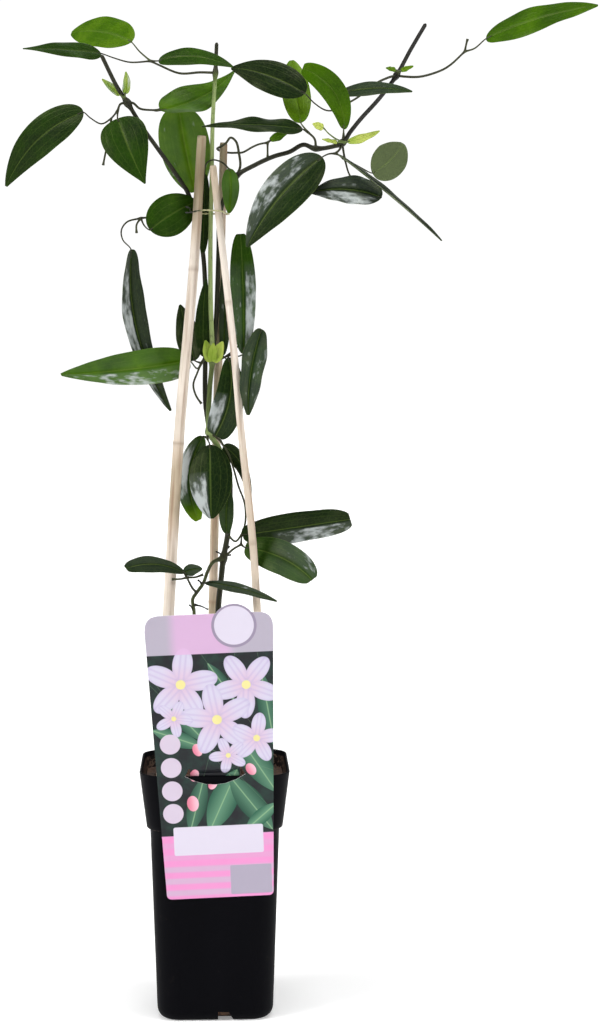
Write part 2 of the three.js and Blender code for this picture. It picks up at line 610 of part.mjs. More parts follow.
function soilSolid() {
  const inset = 2 * (pot.wall + clearance);
  const ledge = bodyHeight + pot.wall + clearance;
  const { rise, inset: insideInset, corner } = pot.insideRound;
  const foot = pot.floor + rise;
  const collarAt = (z) => {
    return THREE.MathUtils.lerp(pot.collarFootWidth, pot.rimWidth, (z - bodyHeight) / pot.collarHeight);
  };
  const rings = [
    roundedSquare(bodyWidthAt(pot.floor) - inset - 2 * insideInset, corner, pot.floor + clearance),
    roundedSquare(bodyWidthAt(foot) - inset, bodyCornerAt(foot) - pot.wall, foot + clearance),
    roundedSquare(pot.bodyWidth - inset, pot.bodyCorner - pot.wall, ledge),
    roundedSquare(pot.collarFootWidth - inset, pot.rimCorner - pot.wall, ledge),
    roundedSquare(collarAt(soil.top) - inset, pot.rimCorner - pot.wall, soil.top),
  ];
  for (const share of [0.8, 0.5, 0.2]) {
    const ring = roundedSquare((pot.rimWidth - inset) * share, pot.rimCorner * share, soil.top);
    ring.forEach((point) => {
      const lump = Math.sin(point.x / soil.lumpWidth) * Math.cos(point.y / soil.lumpDepth);
      point.z += soil.mound * (1 + lump) / 2;
    });
    rings.push(ring);
  }
  let solid = solidOf(loft(rings)).subtract(vineSolid(clearance));
  for (const cane of Object.values(canes)) {
    solid = solid.subtract(caneSolid(cane, clearance));
  }
  return solid;
}

// ---- Label card ----

// Worked flat, with x across, y up the card and z out of its face, and then leaned onto the rim.
function cardSolid() {
  const foot = card.footWidth / 2;
  const top = card.topWidth / 2;
  const shape = new THREE.Shape();
  shape.moveTo(-foot + card.footCorner, 0);
  shape.lineTo(foot - card.footCorner, 0);
  shape.quadraticCurveTo(foot, 0, foot, card.footCorner);
  shape.lineTo(top, card.height - card.shoulder);
  shape.quadraticCurveTo(top, card.height, top - card.shoulder, card.height);
  shape.lineTo(-top + card.shoulder, card.height);
  shape.quadraticCurveTo(-top, card.height, -top, card.height - card.shoulder);
  shape.lineTo(-foot, card.footCorner);
  shape.quadraticCurveTo(-foot, 0, -foot + card.footCorner, 0);
  const hole = new THREE.Path();
  const reach = slit.width / 2;
  hole.moveTo(-slit.rootWidth / 2, slit.top);
  hole.lineTo(-reach, slit.end);
  hole.quadraticCurveTo(0, 2 * slit.foot - slit.end, reach, slit.end);
  hole.lineTo(slit.rootWidth / 2, slit.top);
  hole.closePath();
  shape.holes.push(hole);
  const sheet = { depth: card.thickness, bevelEnabled: false, curveSegments: 6 };
  const plate = new THREE.ExtrudeGeometry(shape, sheet);
  const disc = new THREE.Shape();
  disc.absarc(...lug.centre, lug.radius, 0, 2 * Math.PI);
  const lugDisc = new THREE.ExtrudeGeometry(disc, { ...sheet, curveSegments: 16 });
  // The tongue starts in the card's plane over the slit, steps back over the rim and hangs behind it.
  const back = -clearance - pot.wall - clearance;
  const profile = new THREE.Shape([
    new THREE.Vector2(card.thickness, slit.top + tongue.lap),
    new THREE.Vector2(card.thickness, slit.top - tongue.lap),
    new THREE.Vector2(back, slit.end + tongue.lap),
    new THREE.Vector2(back, tongue.foot),
    new THREE.Vector2(back - card.thickness, tongue.foot),
    new THREE.Vector2(back - card.thickness, slit.end + tongue.step),
    new THREE.Vector2(0, slit.top + tongue.lap - tongue.step),
    new THREE.Vector2(0, slit.top + tongue.lap),
  ]);
  const strip = new THREE.ExtrudeGeometry(profile, { depth: tongue.width, bevelEnabled: false });
  strip.rotateY(-Math.PI / 2).translate(tongue.width / 2, 0, 0);
  const solid = joined([plate, lugDisc, strip]);
  const lean = new THREE.Matrix4().makeTranslation(...card.foot);
  lean.multiply(new THREE.Matrix4().makeRotationX(Math.PI / 2 + THREE.MathUtils.degToRad(card.tilt)));
  lean.multiply(new THREE.Matrix4().makeRotationZ(THREE.MathUtils.degToRad(card.turn)));
  return solid.transform(lean.toArray());
}

// ---- Assembly ----

const plant = new THREE.Group();

function addPiece(name, solid, look) {
  const mesh = new THREE.Mesh(geometryOf(solid), new THREE.MeshStandardMaterial(colours[look]));
  mesh.name = name;
  plant.add(mesh);
}

addPiece('pot', potSolid(), 'pot');
addPiece('soil', soilSolid(), 'soil');
for (const [name, cane] of Object.entries(canes)) {
  addPiece(name, caneSolid(cane), 'cane');
}
addPiece('cane_tie', solidOf(tube(tie.path, [tie.radius, tie.radius], 4, 5)), 'tie');
addPiece('label_card', cardSolid(), 'card');
addPiece('vine', vineSolid(), 'stem');
const aroundVine = vineSolid(clearance);
for (const [name, leaf] of Object.entries(leaves)) {
  addPiece(name, leafSolid(leaf).subtract(aroundVine), name.startsWith('shoot') ? 'shoot' : 'leaf');
}

export default plant;
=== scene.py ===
import math

import bpy
import numpy as np
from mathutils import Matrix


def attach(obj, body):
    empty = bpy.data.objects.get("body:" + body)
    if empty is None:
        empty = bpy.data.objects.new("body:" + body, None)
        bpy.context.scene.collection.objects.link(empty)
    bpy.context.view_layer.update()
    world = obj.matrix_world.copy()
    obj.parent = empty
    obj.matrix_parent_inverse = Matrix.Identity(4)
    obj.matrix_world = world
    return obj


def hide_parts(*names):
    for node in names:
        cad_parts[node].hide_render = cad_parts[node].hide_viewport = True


# A young evergreen clematis that climbs a tripod of three canes in a square nursery pot, with a printed card
# hooked on the pot's rim. The tables are in millimetres, as the part is drawn, and every mesh is in metres.
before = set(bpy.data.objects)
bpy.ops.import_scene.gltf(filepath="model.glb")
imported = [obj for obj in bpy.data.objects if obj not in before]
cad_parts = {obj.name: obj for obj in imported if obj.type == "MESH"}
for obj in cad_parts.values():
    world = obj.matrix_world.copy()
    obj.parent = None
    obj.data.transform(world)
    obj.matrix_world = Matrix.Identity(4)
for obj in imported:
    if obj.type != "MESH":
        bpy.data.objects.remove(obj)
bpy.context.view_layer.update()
mm = 0.001
rng = np.random.default_rng(11)
print("frame loaded:", len(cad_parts), "nodes")


# camera: where the photograph was taken from, found from the edges of the pot
view = dict(place=(0, -1600, 489), down=4.16, right=2.316, lens=75.87, sensor=36)


def addObject(name, data):
    thing = bpy.data.objects.new(name, data)
    bpy.context.scene.collection.objects.link(thing)
    return thing


def makeCamera():
    data = bpy.data.cameras.new("camera")
    data.sensor_fit = "VERTICAL"
    data.sensor_height = view["sensor"]
    data.lens = view["lens"]
    camera = addObject("camera", data)
    camera.location = [v * mm for v in view["place"]]
    camera.rotation_euler = (math.radians(90 - view["down"]), 0, math.radians(-view["right"]))
    bpy.context.scene.camera = camera


makeCamera()


# surfaces: grids of points, joined into one mesh for each piece

def smoothPath(points, spacing):
    # Centripetal Catmull-Rom: between two points a cubic whose end slopes weigh the neighbouring spans by the
    # square roots of their lengths, sampled finely and then spaced evenly along its length.
    p = np.array(points, float)
    line = np.vstack([2 * p[0] - p[1], p, 2 * p[-1] - p[-2]])
    gap = np.sqrt(np.linalg.norm(np.diff(line, axis=0), axis=1))[:, None]
    a, b, c, d = line[:-3], line[1:-2], line[2:-1], line[3:]
    before, here, after = gap[:-2], gap[1:-1], gap[2:]
    leave = ((b - a) / before - (c - a) / (before + here) + (c - b) / here) * here
    arrive = ((c - b) / here - (d - b) / (here + after) + (d - c) / after) * here
    w = np.linspace(0, 1, 24, endpoint=False)[None, :, None]
    square = -3 * b + 3 * c - 2 * leave - arrive
    cube = 2 * b - 2 * c + leave + arrive
    fine = b[:, None] + leave[:, None] * w + square[:, None] * w ** 2 + cube[:, None] * w ** 3
    fine = np.vstack([fine.reshape(-1, 3), p[-1:]])
    along = np.concatenate([[0], np.cumsum(np.linalg.norm(np.diff(fine, axis=0), axis=1))])
    even = np.linspace(0, along[-1], max(3, round(along[-1] / spacing)) + 1)
    return np.column_stack([np.interp(even, along, fine[:, k]) for k in range(3)]), even


def unit(v):
    return v / np.linalg.norm(v, axis=-1, keepdims=True)


def bell(distance, reach):
    return np.exp(-(distance / reach) ** 2)


def tubeSurface(path, radius, sides, ribs=0, ribDepth=0.0):
    # point = path + r (cos a normal + sin a binormal), with r = radius (1 + depth cos(ribs a)). The normal is
    # square to the path and to the direction in which the path spreads least, so it never flips over.
    tangent = unit(np.gradient(path, axis=0))
    least = np.linalg.svd(path - path.mean(0))[2][2]
    normal = unit(np.cross(tangent, least))
    binormal = np.cross(tangent, normal)
    a = np.linspace(0, 2 * np.pi, sides, endpoint=False)[None, :, None]
    r = np.broadcast_to(radius, len(path))[:, None, None] * (1 + ribDepth * np.cos(ribs * a))
    return path[:, None] + r * (np.cos(a) * normal[:, None] + np.sin(a) * binormal[:, None])


def tubeUv(along, radius, sides):
    # along the tube and round it, in tenths of a metre
    return along / 100, np.linspace(0, 2 * np.pi * radius / 100, sides + 1)


def gridPart(surface, uv=None, material=0, **marks):
    # A closed skin over rows of points that each go once round, with a pole at the middle of both end rows.
    rows, columns = surface.shape[:2]
    i = np.arange(rows - 1)[:, None]
    j = np.arange(columns)[None, :]
    k = (j + 1) % columns
    quads = np.stack([i * columns + j, i * columns + k, (i + 1) * columns + k, (i + 1) * columns + j], -1)
    first, last = rows * columns, rows * columns + 1
    j, k = j[0], k[0]
    end = (rows - 1) * columns
    tris = np.vstack([
        np.stack([np.full(columns, first), k, j], -1),
        np.stack([np.full(columns, last), end + j, end + k], -1),
    ])
    points = np.vstack([surface.reshape(-1, 3), surface[0].mean(0), surface[-1].mean(0)])
    if uv is None:
        uv = (np.linspace(0, 1, rows), np.linspace(0, 1, columns + 1))
    across, down = np.meshgrid(uv[1], uv[0])
    flat = np.stack([across, down], -1)
    corners = np.stack([flat[:-1, :-1], flat[:-1, 1:], flat[1:, 1:], flat[1:, :-1]], 2).reshape(-1, 4, 2)
    startUv = np.stack([flat[0, :-1], flat[0, 1:], flat[0, :-1]], 1)
    endUv = np.stack([flat[-1, :-1], flat[-1, :-1], flat[-1, 1:]], 1)
    full = {}
    for name, value in marks.items():
        spread = np.broadcast_to(value, (rows, columns))
        full[name] = np.concatenate([spread.ravel(), [spread[0].mean(), spread[-1].mean()]])
    return dict(points=points, quads=quads.reshape(-1, 4), tris=tris, quadUv=corners,
                triUv=np.vstack([startUv, endUv]), material=material, marks=full)


def buildPiece(name, parts, materials, node, smooth=True):
    # One mesh from all the parts: four-sided faces first and then the three-sided ones at the poles.
    offsets = np.concatenate([[0], np.cumsum([len(p["points"]) for p in parts])])
    points = np.vstack([p["points"] for p in parts]) * mm
    quads, tris = (np.vstack([p[key] + o for p, o in zip(parts, offsets)]) for key in ("quads", "tris"))
    mesh = bpy.data.meshes.new(name)
    mesh.vertices.add(len(points))
    mesh.vertices.foreach_set("co", points.ravel().astype(np.float32))
    loops = np.concatenate([quads.ravel(), tris.ravel()]).astype(np.int32)
    mesh.loops.add(len(loops))
    mesh.loops.foreach_set("vertex_index", loops)
    sizes = np.concatenate([np.full(len(quads), 4), np.full(len(tris), 3)])
    mesh.polygons.add(len(sizes))
    starts = np.concatenate([[0], np.cumsum(sizes)[:-1]]).astype(np.int32)
    mesh.polygons.foreach_set("loop_start", starts)
    slots = [np.full(len(p[key]), p["material"]) for key in ("quads", "tris") for p in parts]
    mesh.polygons.foreach_set("material_index", np.concatenate(slots).astype(np.int32))
    mesh.update(calc_edges=True)
    uv = np.concatenate([p[key].reshape(-1, 2) for key in ("quadUv", "triUv") for p in parts])
    mesh.uv_layers.new(name="surface").data.foreach_set("uv", uv.ravel().astype(np.float32))
    for mark in sorted({m for p in parts for m in p["marks"]}):
        values = np.concatenate([p["marks"].get(mark, np.zeros(len(p["points"]))) for p in parts])
        mesh.attributes.new(mark, "FLOAT", "POINT").data.foreach_set("value", values.astype(np.float32))
    mesh.validate()
    mesh.polygons.foreach_set("use_smooth", np.full(len(mesh.polygons), smooth))
    for material in materials:
        mesh.materials.append(material)
    piece = addObject(name, mesh)
    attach(piece, "root")
    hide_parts(node)
    return piece


# shader helpers: they add nodes to the newest material, and a value is a number or the socket that gives it

def newMaterial(name):
    global tree
    material = bpy.data.materials.new(name)
    material.use_nodes = True
    tree = material.node_tree
    return material


def feed(socket, value):
    if isinstance(value, bpy.types.NodeSocket):
        tree.links.new(value, socket)
    else:
        socket.default_value = value


def dress(material, inputs):
    shader = tree.nodes["Principled BSDF"]
    for key, value in inputs.items():
        feed(shader.inputs[key], value)
    return material


def addNode(kind, inputs=(), out=0, **settings):
    node = tree.nodes.new("ShaderNode" + kind)
    for key, value in settings.items():
        setattr(node, key, value)
    for key, value in dict(inputs).items():
        feed(node.inputs[key], value)
    return node.outputs[out]


def calc(operation, a, b=0.0, c=0.0, clamp=False):
    return addNode("Math", {0: a, 1: b, 2: c}, operation=operation, use_clamp=clamp)


def times(a, b):
    return calc("MULTIPLY", a, b)


def minus(a, b):
    return calc("SUBTRACT", a, b)


def timesPlus(a, b, c, clamp=False):
    return calc("MULTIPLY_ADD", a, b, c, clamp)


def vary(base, pattern, share, clamp=True):
    # base plus a share of how far the pattern is from its mean
    return timesPlus(minus(pattern, 0.5), share, base, clamp)


def unsigned(a):
    return calc("ABSOLUTE", a)


def vectors(operation, a, b=(0.0, 0.0, 0.0), out=0):
    return addNode("VectorMath", {0: a, 1: b}, out, operation=operation)


def between(value, low, high, start=0.0, end=1.0):
    # start below low, end above high, and a smooth step from one to the other
    inputs = {0: value, 1: low, 2: high, 3: start, 4: end}
    return addNode("MapRange", inputs, interpolation_type="SMOOTHSTEP")


def near(value, reach, strength=1.0):
    # full strength where the value is 0, and nothing from reach on
    return between(value, 0.0, reach, strength, 0.0)


def blend(share, a, b):
    return addNode("Mix", {0: share, 6: a, 7: b}, 2, data_type="RGBA")


def rgb(red, green, blue):
    # a colour as a screen shows it, 0 to 255, made linear
    parts = [v / 255 for v in (red, green, blue)]
    return tuple(v / 12.92 if v <= 0.04045 else ((v + 0.055) / 1.055) ** 2.4 for v in parts) + (1,)


def ramp(value, stops):
    output = addNode("ValToRGB", {0: value})
    stopList = output.node.color_ramp.elements
    while len(stopList) < len(stops):
        stopList.new(0.5)
    for element, (place, colour) in zip(stopList, stops):
        element.position = place
        element.color = colour
    return output


def noise(where, scale, detail=4.0, rough=0.55):
    return addNode("TexNoise", {"Vector": where, "Scale": scale, "Detail": detail, "Roughness": rough}, "Fac")


def stretched(where, scale):
    return addNode("Mapping", {"Vector": where, "Scale": scale})


def streaky(where, scale, fineness=1.0, detail=4.0, rough=0.55):
    # noise drawn out by its own scale in each direction
    return noise(stretched(where, (*scale, 1.0)), fineness, detail, rough)


def mark(name):
    return addNode("Attribute", (), "Fac", attribute_name=name)


def bump(height, strength, distance):
    return addNode("Bump", {"Height": height, "Strength": strength, "Distance": distance})


def objectPlace():
    return addNode("TexCoord", (), "Object")


def surfacePlace():
    return addNode("UVMap", uv_map="surface")


# leaf finish: dark glossy leather on top, paler and duller below, with a pale midrib, two side veins in each
# half and a fine net between them, and a painted highlight of pale grey streaks laid into the colour
leafFinish = dict(
    tones=[(0.0, rgb(10, 17, 12)), (0.3, rgb(22, 40, 16)), (0.5, rgb(36, 66, 8)), (0.65, rgb(60, 96, 4)),
           (0.85, rgb(104, 138, 24)), (1.0, rgb(180, 192, 96))],
    under=rgb(94, 104, 74), underShare=0.75, vein=rgb(112, 134, 60), bloom=rgb(184, 190, 190), highlightFrom=1.8,
    highlightTo=0.88, highlightFilm=0.1, patches=(8.0, 5.0), streaks=(30.0, 11.0), mottleScale=50.0, mottle=0.4,
    netScale=26.0, sideVeins=(0.47, 0.77), shares=dict(midrib=0.24, side=0.09, net=0.05, rim=0.22),
    roughness=(0.3, 0.42), gloss=0.1, glossTint=(0.8, 0.85, 0.4, 1),
)


def makeLeafBlade():
    look = leafFinish
    shares = look["shares"]
    material = newMaterial("leaf_blade")
    place, surface = objectPlace(), surfacePlace()
    across, under, bloom = unsigned(mark("across")), mark("under"), mark("bloom")
    tone = vary(mark("tint"), noise(place, look["mottleScale"]), look["mottle"])
    colour = blend(times(under, look["underShare"]), ramp(tone, look["tones"]), look["under"])
    midrib = between(across, 0.015, 0.06, 1.0, 0.0)
    inner, outer = (near(unsigned(minus(across, v)), 0.03) for v in look["sideVeins"])
    cells = {"Vector": stretched(surface, (1.7, 1.0, 1.0)), "Scale": look["netScale"]}
    net = near(addNode("TexVoronoi", cells, "Distance", feature="DISTANCE_TO_EDGE"), 0.12)
    veins = timesPlus(calc("MAXIMUM", inner, outer), shares["side"], times(midrib, shares["midrib"]))
    veins = timesPlus(net, shares["net"], veins, clamp=True)
    veins = timesPlus(between(across, 0.955, 1.0), shares["rim"], veins, clamp=True)
    colour = blend(veins, colour, look["vein"])
    # painted highlight: pale grey streaks that run out from the midrib, over a thin even film of the same
    # grey, are laid into the colour as painted reflections of the lights
    patches = streaky(surface, look["patches"], detail=2.0)
    streaks = streaky(surface, look["streaks"], detail=3.0)
    grainy = timesPlus(patches, 1.5, times(streaks, 1.1))
    amount = calc("ADD", minus(bloom, look["highlightFrom"]), grainy)
    highlightShare = calc("MAXIMUM", between(amount, 0.0, 0.55, 0.0, look["highlightTo"]), times(bloom, look["highlightFilm"]))
    gloss = between(noise(place, 120.0, 6.0), 0.3, 0.7, *look["roughness"])
    fold = timesPlus(net, -0.5, times(noise(surface, 160.0, 2.0), 0.2))
    return dress(material, {
        "Base Color": blend(highlightShare, colour, look["bloom"]), "Roughness": timesPlus(under, 0.2, gloss),
        "Specular IOR Level": look["gloss"], "Specular Tint": look["glossTint"],
        "Normal": bump(fold, 0.2, 0.0003),
    })


# stem finish: ribbed, from dark brown-green where tint is 0 to pale green where it is 1
stemFinish = dict(
    tones=[(0.0, rgb(26, 25, 21)), (0.3, rgb(60, 62, 42)), (0.6, rgb(104, 122, 66)),
           (1.0, rgb(160, 178, 118))],
    spot=rgb(58, 40, 30), spotShare=0.4, roughness=(0.4, 0.62), gloss=0.18,
)


def makeStemFinish():
    look = stemFinish
    material = newMaterial("stem_bark")
    fibres = streaky(surfacePlace(), (12.0, 1.5), 6.0, 5.0)
    spots = between(noise(objectPlace(), 260.0, 3.0), 0.6, 0.75, 0.0, look["spotShare"])
    colour = ramp(vary(mark("tint"), fibres, 0.5), look["tones"])
    return dress(material, {
        "Base Color": blend(spots, colour, look["spot"]), "Normal": bump(fibres, 0.5, 0.0003),
        "Roughness": between(fibres, 0.3, 0.7, *look["roughness"]), "Specular IOR Level": look["gloss"],
    })


leafBlade = makeLeafBlade()
stemBark = makeStemFinish()

# the leaf shape that all blades share: where the grid's columns stand, and the relief of rib, veins and edge
bladeShape = dict(
    columns=(0, 0.025, 0.055, 0.1, 0.17, 0.25, 0.34, 0.41, 0.445, 0.47, 0.495, 0.53, 0.6, 0.68, 0.735, 0.77,
             0.805, 0.86, 0.93, 0.975, 1),
    rows=56, end=0.93, rootHalf=0.8, tipHalf=0.4, cup=0.12, thickness=0.55, edgeThickness=0.22, ribGroove=0.3,
    ribRidge=0.55, ribHalf=0.7, veinGroove=0.13, veinHalf=0.025, quilt=0.16, ripple=0.35, fullRelief=20,
)
bladeDefaults = dict(bend=(0, 0, 0), peak=0.37, round=0.55, fold=0.16, wave=0.4, waves=2, twist=0,
                     bloom=(0, 0), bloomSpan=(0, 1), tipTint=0)


def midribLine(blade, t):
    # the straight line from base to tip, moved by bend 4t(1 - t)
    base, tip, bend = (np.array(blade.get(key, (0, 0, 0)), float) for key in ("base", "tip", "bend"))
    return base + t * (tip - base) + 4 * t * (1 - t) * bend


def turnAbout(v, axis, angle):
    # each row of v turned about that row of axis
    return v * np.cos(angle) + np.cross(axis, v) * np.sin(angle) \
        + axis * np.sum(axis * v, -1, keepdims=True) * (1 - np.cos(angle))


def bladePart(blade):
    # Along the midrib t runs from 0 to 1, and v from -1 to 1 across. The half width rises as (t / peak)^r
    # and falls as ((1 - t) / (1 - peak))^s. Both halves fold up by fold |v| and cup back by cup v^2, and the
    # edge waves by wave sin(2 pi waves t) v^2. Rib, veins and a faint ripple are added on both faces.
    shape = bladeShape
    look = {**bladeDefaults, **blade}
    base, tip, bend, face = (np.array(look[key], float) for key in ("base", "tip", "bend", "face"))
    peak, r, long = look["peak"], look["round"], np.linalg.norm(tip - base)
    t = ((1 - np.cos(np.pi * np.linspace(0, shape["end"], shape["rows"] + 1))) / 2)[:, None]
    along = unit(tip - base + bend * 4 * (1 - 2 * t))
    up = unit(face - along * (along @ face)[:, None])
    up = turnAbout(up, along, np.radians(look["twist"] * (t - 0.5)))
    sideways = np.cross(along, up)
    width = (t / peak) ** r * ((1 - t) / (1 - peak)) ** (r * (1 - peak) / peak)
    half = look["width"] / 2 * width + shape["rootHalf"] * (1 - t) ** 6 + shape["tipHalf"] * t ** 6
    right = np.array(shape["columns"])
    v = np.concatenate([-right[:0:-1], right])[None, :]
    side = np.abs(v)
    relief = min(1, look["width"] / shape["fullRelief"])
    seed = np.sum(base)
    ripple = np.sin(half * v * 0.31 + seed) * np.sin(t * long * 0.23 + 2 * seed)
    lift = half * (look["fold"] * side - shape["cup"] * v * v)
    lift += look["wave"] * width * np.sin(2 * np.pi * look["waves"] * t) * v * v * np.where(v > 0, 1, -0.7)
    lift += shape["ripple"] * ripple * width * side ** 0.5 * relief
    rib = bell(side * half, shape["ribHalf"]) * (1 - t) ** 0.6
    sunk = sum(bell(side - place, shape["veinHalf"]) for place in leafFinish["sideVeins"]) * width
    quilt = shape["quilt"] * np.abs(np.sin(np.pi * v / 0.3)) * width ** 2 * (1 - v * v)
    edge = side ** 8
    thick = (shape["thickness"] * (1 - edge) + shape["edgeThickness"] * edge) / 2
    top = lift + thick + relief * (quilt - shape["ribGroove"] * rib - shape["veinGroove"] * sunk)
    low = lift - thick - relief * shape["ribRidge"] * rib
    flat = midribLine(look, t)[:, None] + sideways[:, None] * (v * half)[..., None]
    upper, lower = (flat + up[:, None] * height[..., None] for height in (top, low))
    loop = np.concatenate([upper, lower[:, ::-1]], 1)
    across = np.concatenate([v[0], v[0, ::-1]])
    under = np.repeat([0.0, 1.0], v.shape[1])
    spread = np.concatenate([across, v[0, :1]]) * look["width"] / 200
    # painted highlight: one amount for each half of the blade, between two places along it, and none beside
    # the midrib
    start, end = look["bloomSpan"]
    reach = np.sin(np.pi * np.clip((t - start) / (end - start), 0, 1)) ** 0.4
    reach = np.clip((np.abs(across) - 0.1) / 0.12, 0, 1) * reach
    bloom = np.where(across > 0, look["bloom"][1], look["bloom"][0]) * reach * (1 - under)
    # painted light: the last part of some blades is painted paler yellow-green, a lit tip
    tint = look["tint"] + look["tipTint"] * np.clip((t - 0.72) / 0.16, 0, 1)
    uv = (t[:, 0] * long / 100, spread)
    return gridPart(loop, uv=uv, across=across, under=under, bloom=bloom, tint=tint)


# stalk, twiglet and leafEnd are radii, and each stalk's end sinks into its blade a little past its base
stalkShape = dict(stalk=0.95, twiglet=0.72, leafEnd=0.4, leafStart=0.05, sink=0.35, sides=12, spacing=1.0,
                  ribs=5, ribDepth=0.05, swell=0.35, swellLength=1.8, stalkTint=0.25, stubTint=0.3)


def stalkPart(points, start, end, tint):
    # A ribbed tube that swells a little at both ends, where it joins the stem or the next fork.
    s = stalkShape
    path, along = smoothPath(points, s["spacing"])
    share = along / along[-1]
    radius = start + (end - start) * share
    radius = radius + s["swell"] * (bell(along, s["swellLength"]) + bell(along - along[-1], s["swellLength"]))
    surface = tubeSurface(path, radius, s["sides"], s["ribs"], s["ribDepth"])
    return gridPart(surface, uv=tubeUv(along, start, s["sides"]), material=1, tint=tint)


def leafParts(leaf):
    s = stalkShape
    parts = [stalkPart(leaf["stalk"], s["stalk"], s["twiglet"], s["stalkTint"])]
    for blade in leaf["leaflets"]:
        parts.append(bladePart(blade))
        end = tuple(midribLine(blade, s["leafStart"]) - s["sink"] * unit(np.array(blade["face"], float)))
        points = [leaf["stalk"][-1], *blade["via"], blade["base"], end]
        green = 0.2 + 0.6 * max(0, blade["tint"] - 0.4)
        parts.append(stalkPart(points, s["twiglet"], s["leafEnd"], green))
    for points in leaf.get("stubs", []):
        parts.append(stalkPart(points, s["twiglet"], s["twiglet"], s["stubTint"]))
    return parts


def leaflet(base, tip, width, tint, face, via=(), **shape):
    # face is the way the upper side looks, tint runs from near black to yellow-green, and via are the points
    # of the leaflet's own stalk between the fork and its base
    return dict(base=base, tip=tip, width=width, tint=tint, face=face, via=via, **shape)


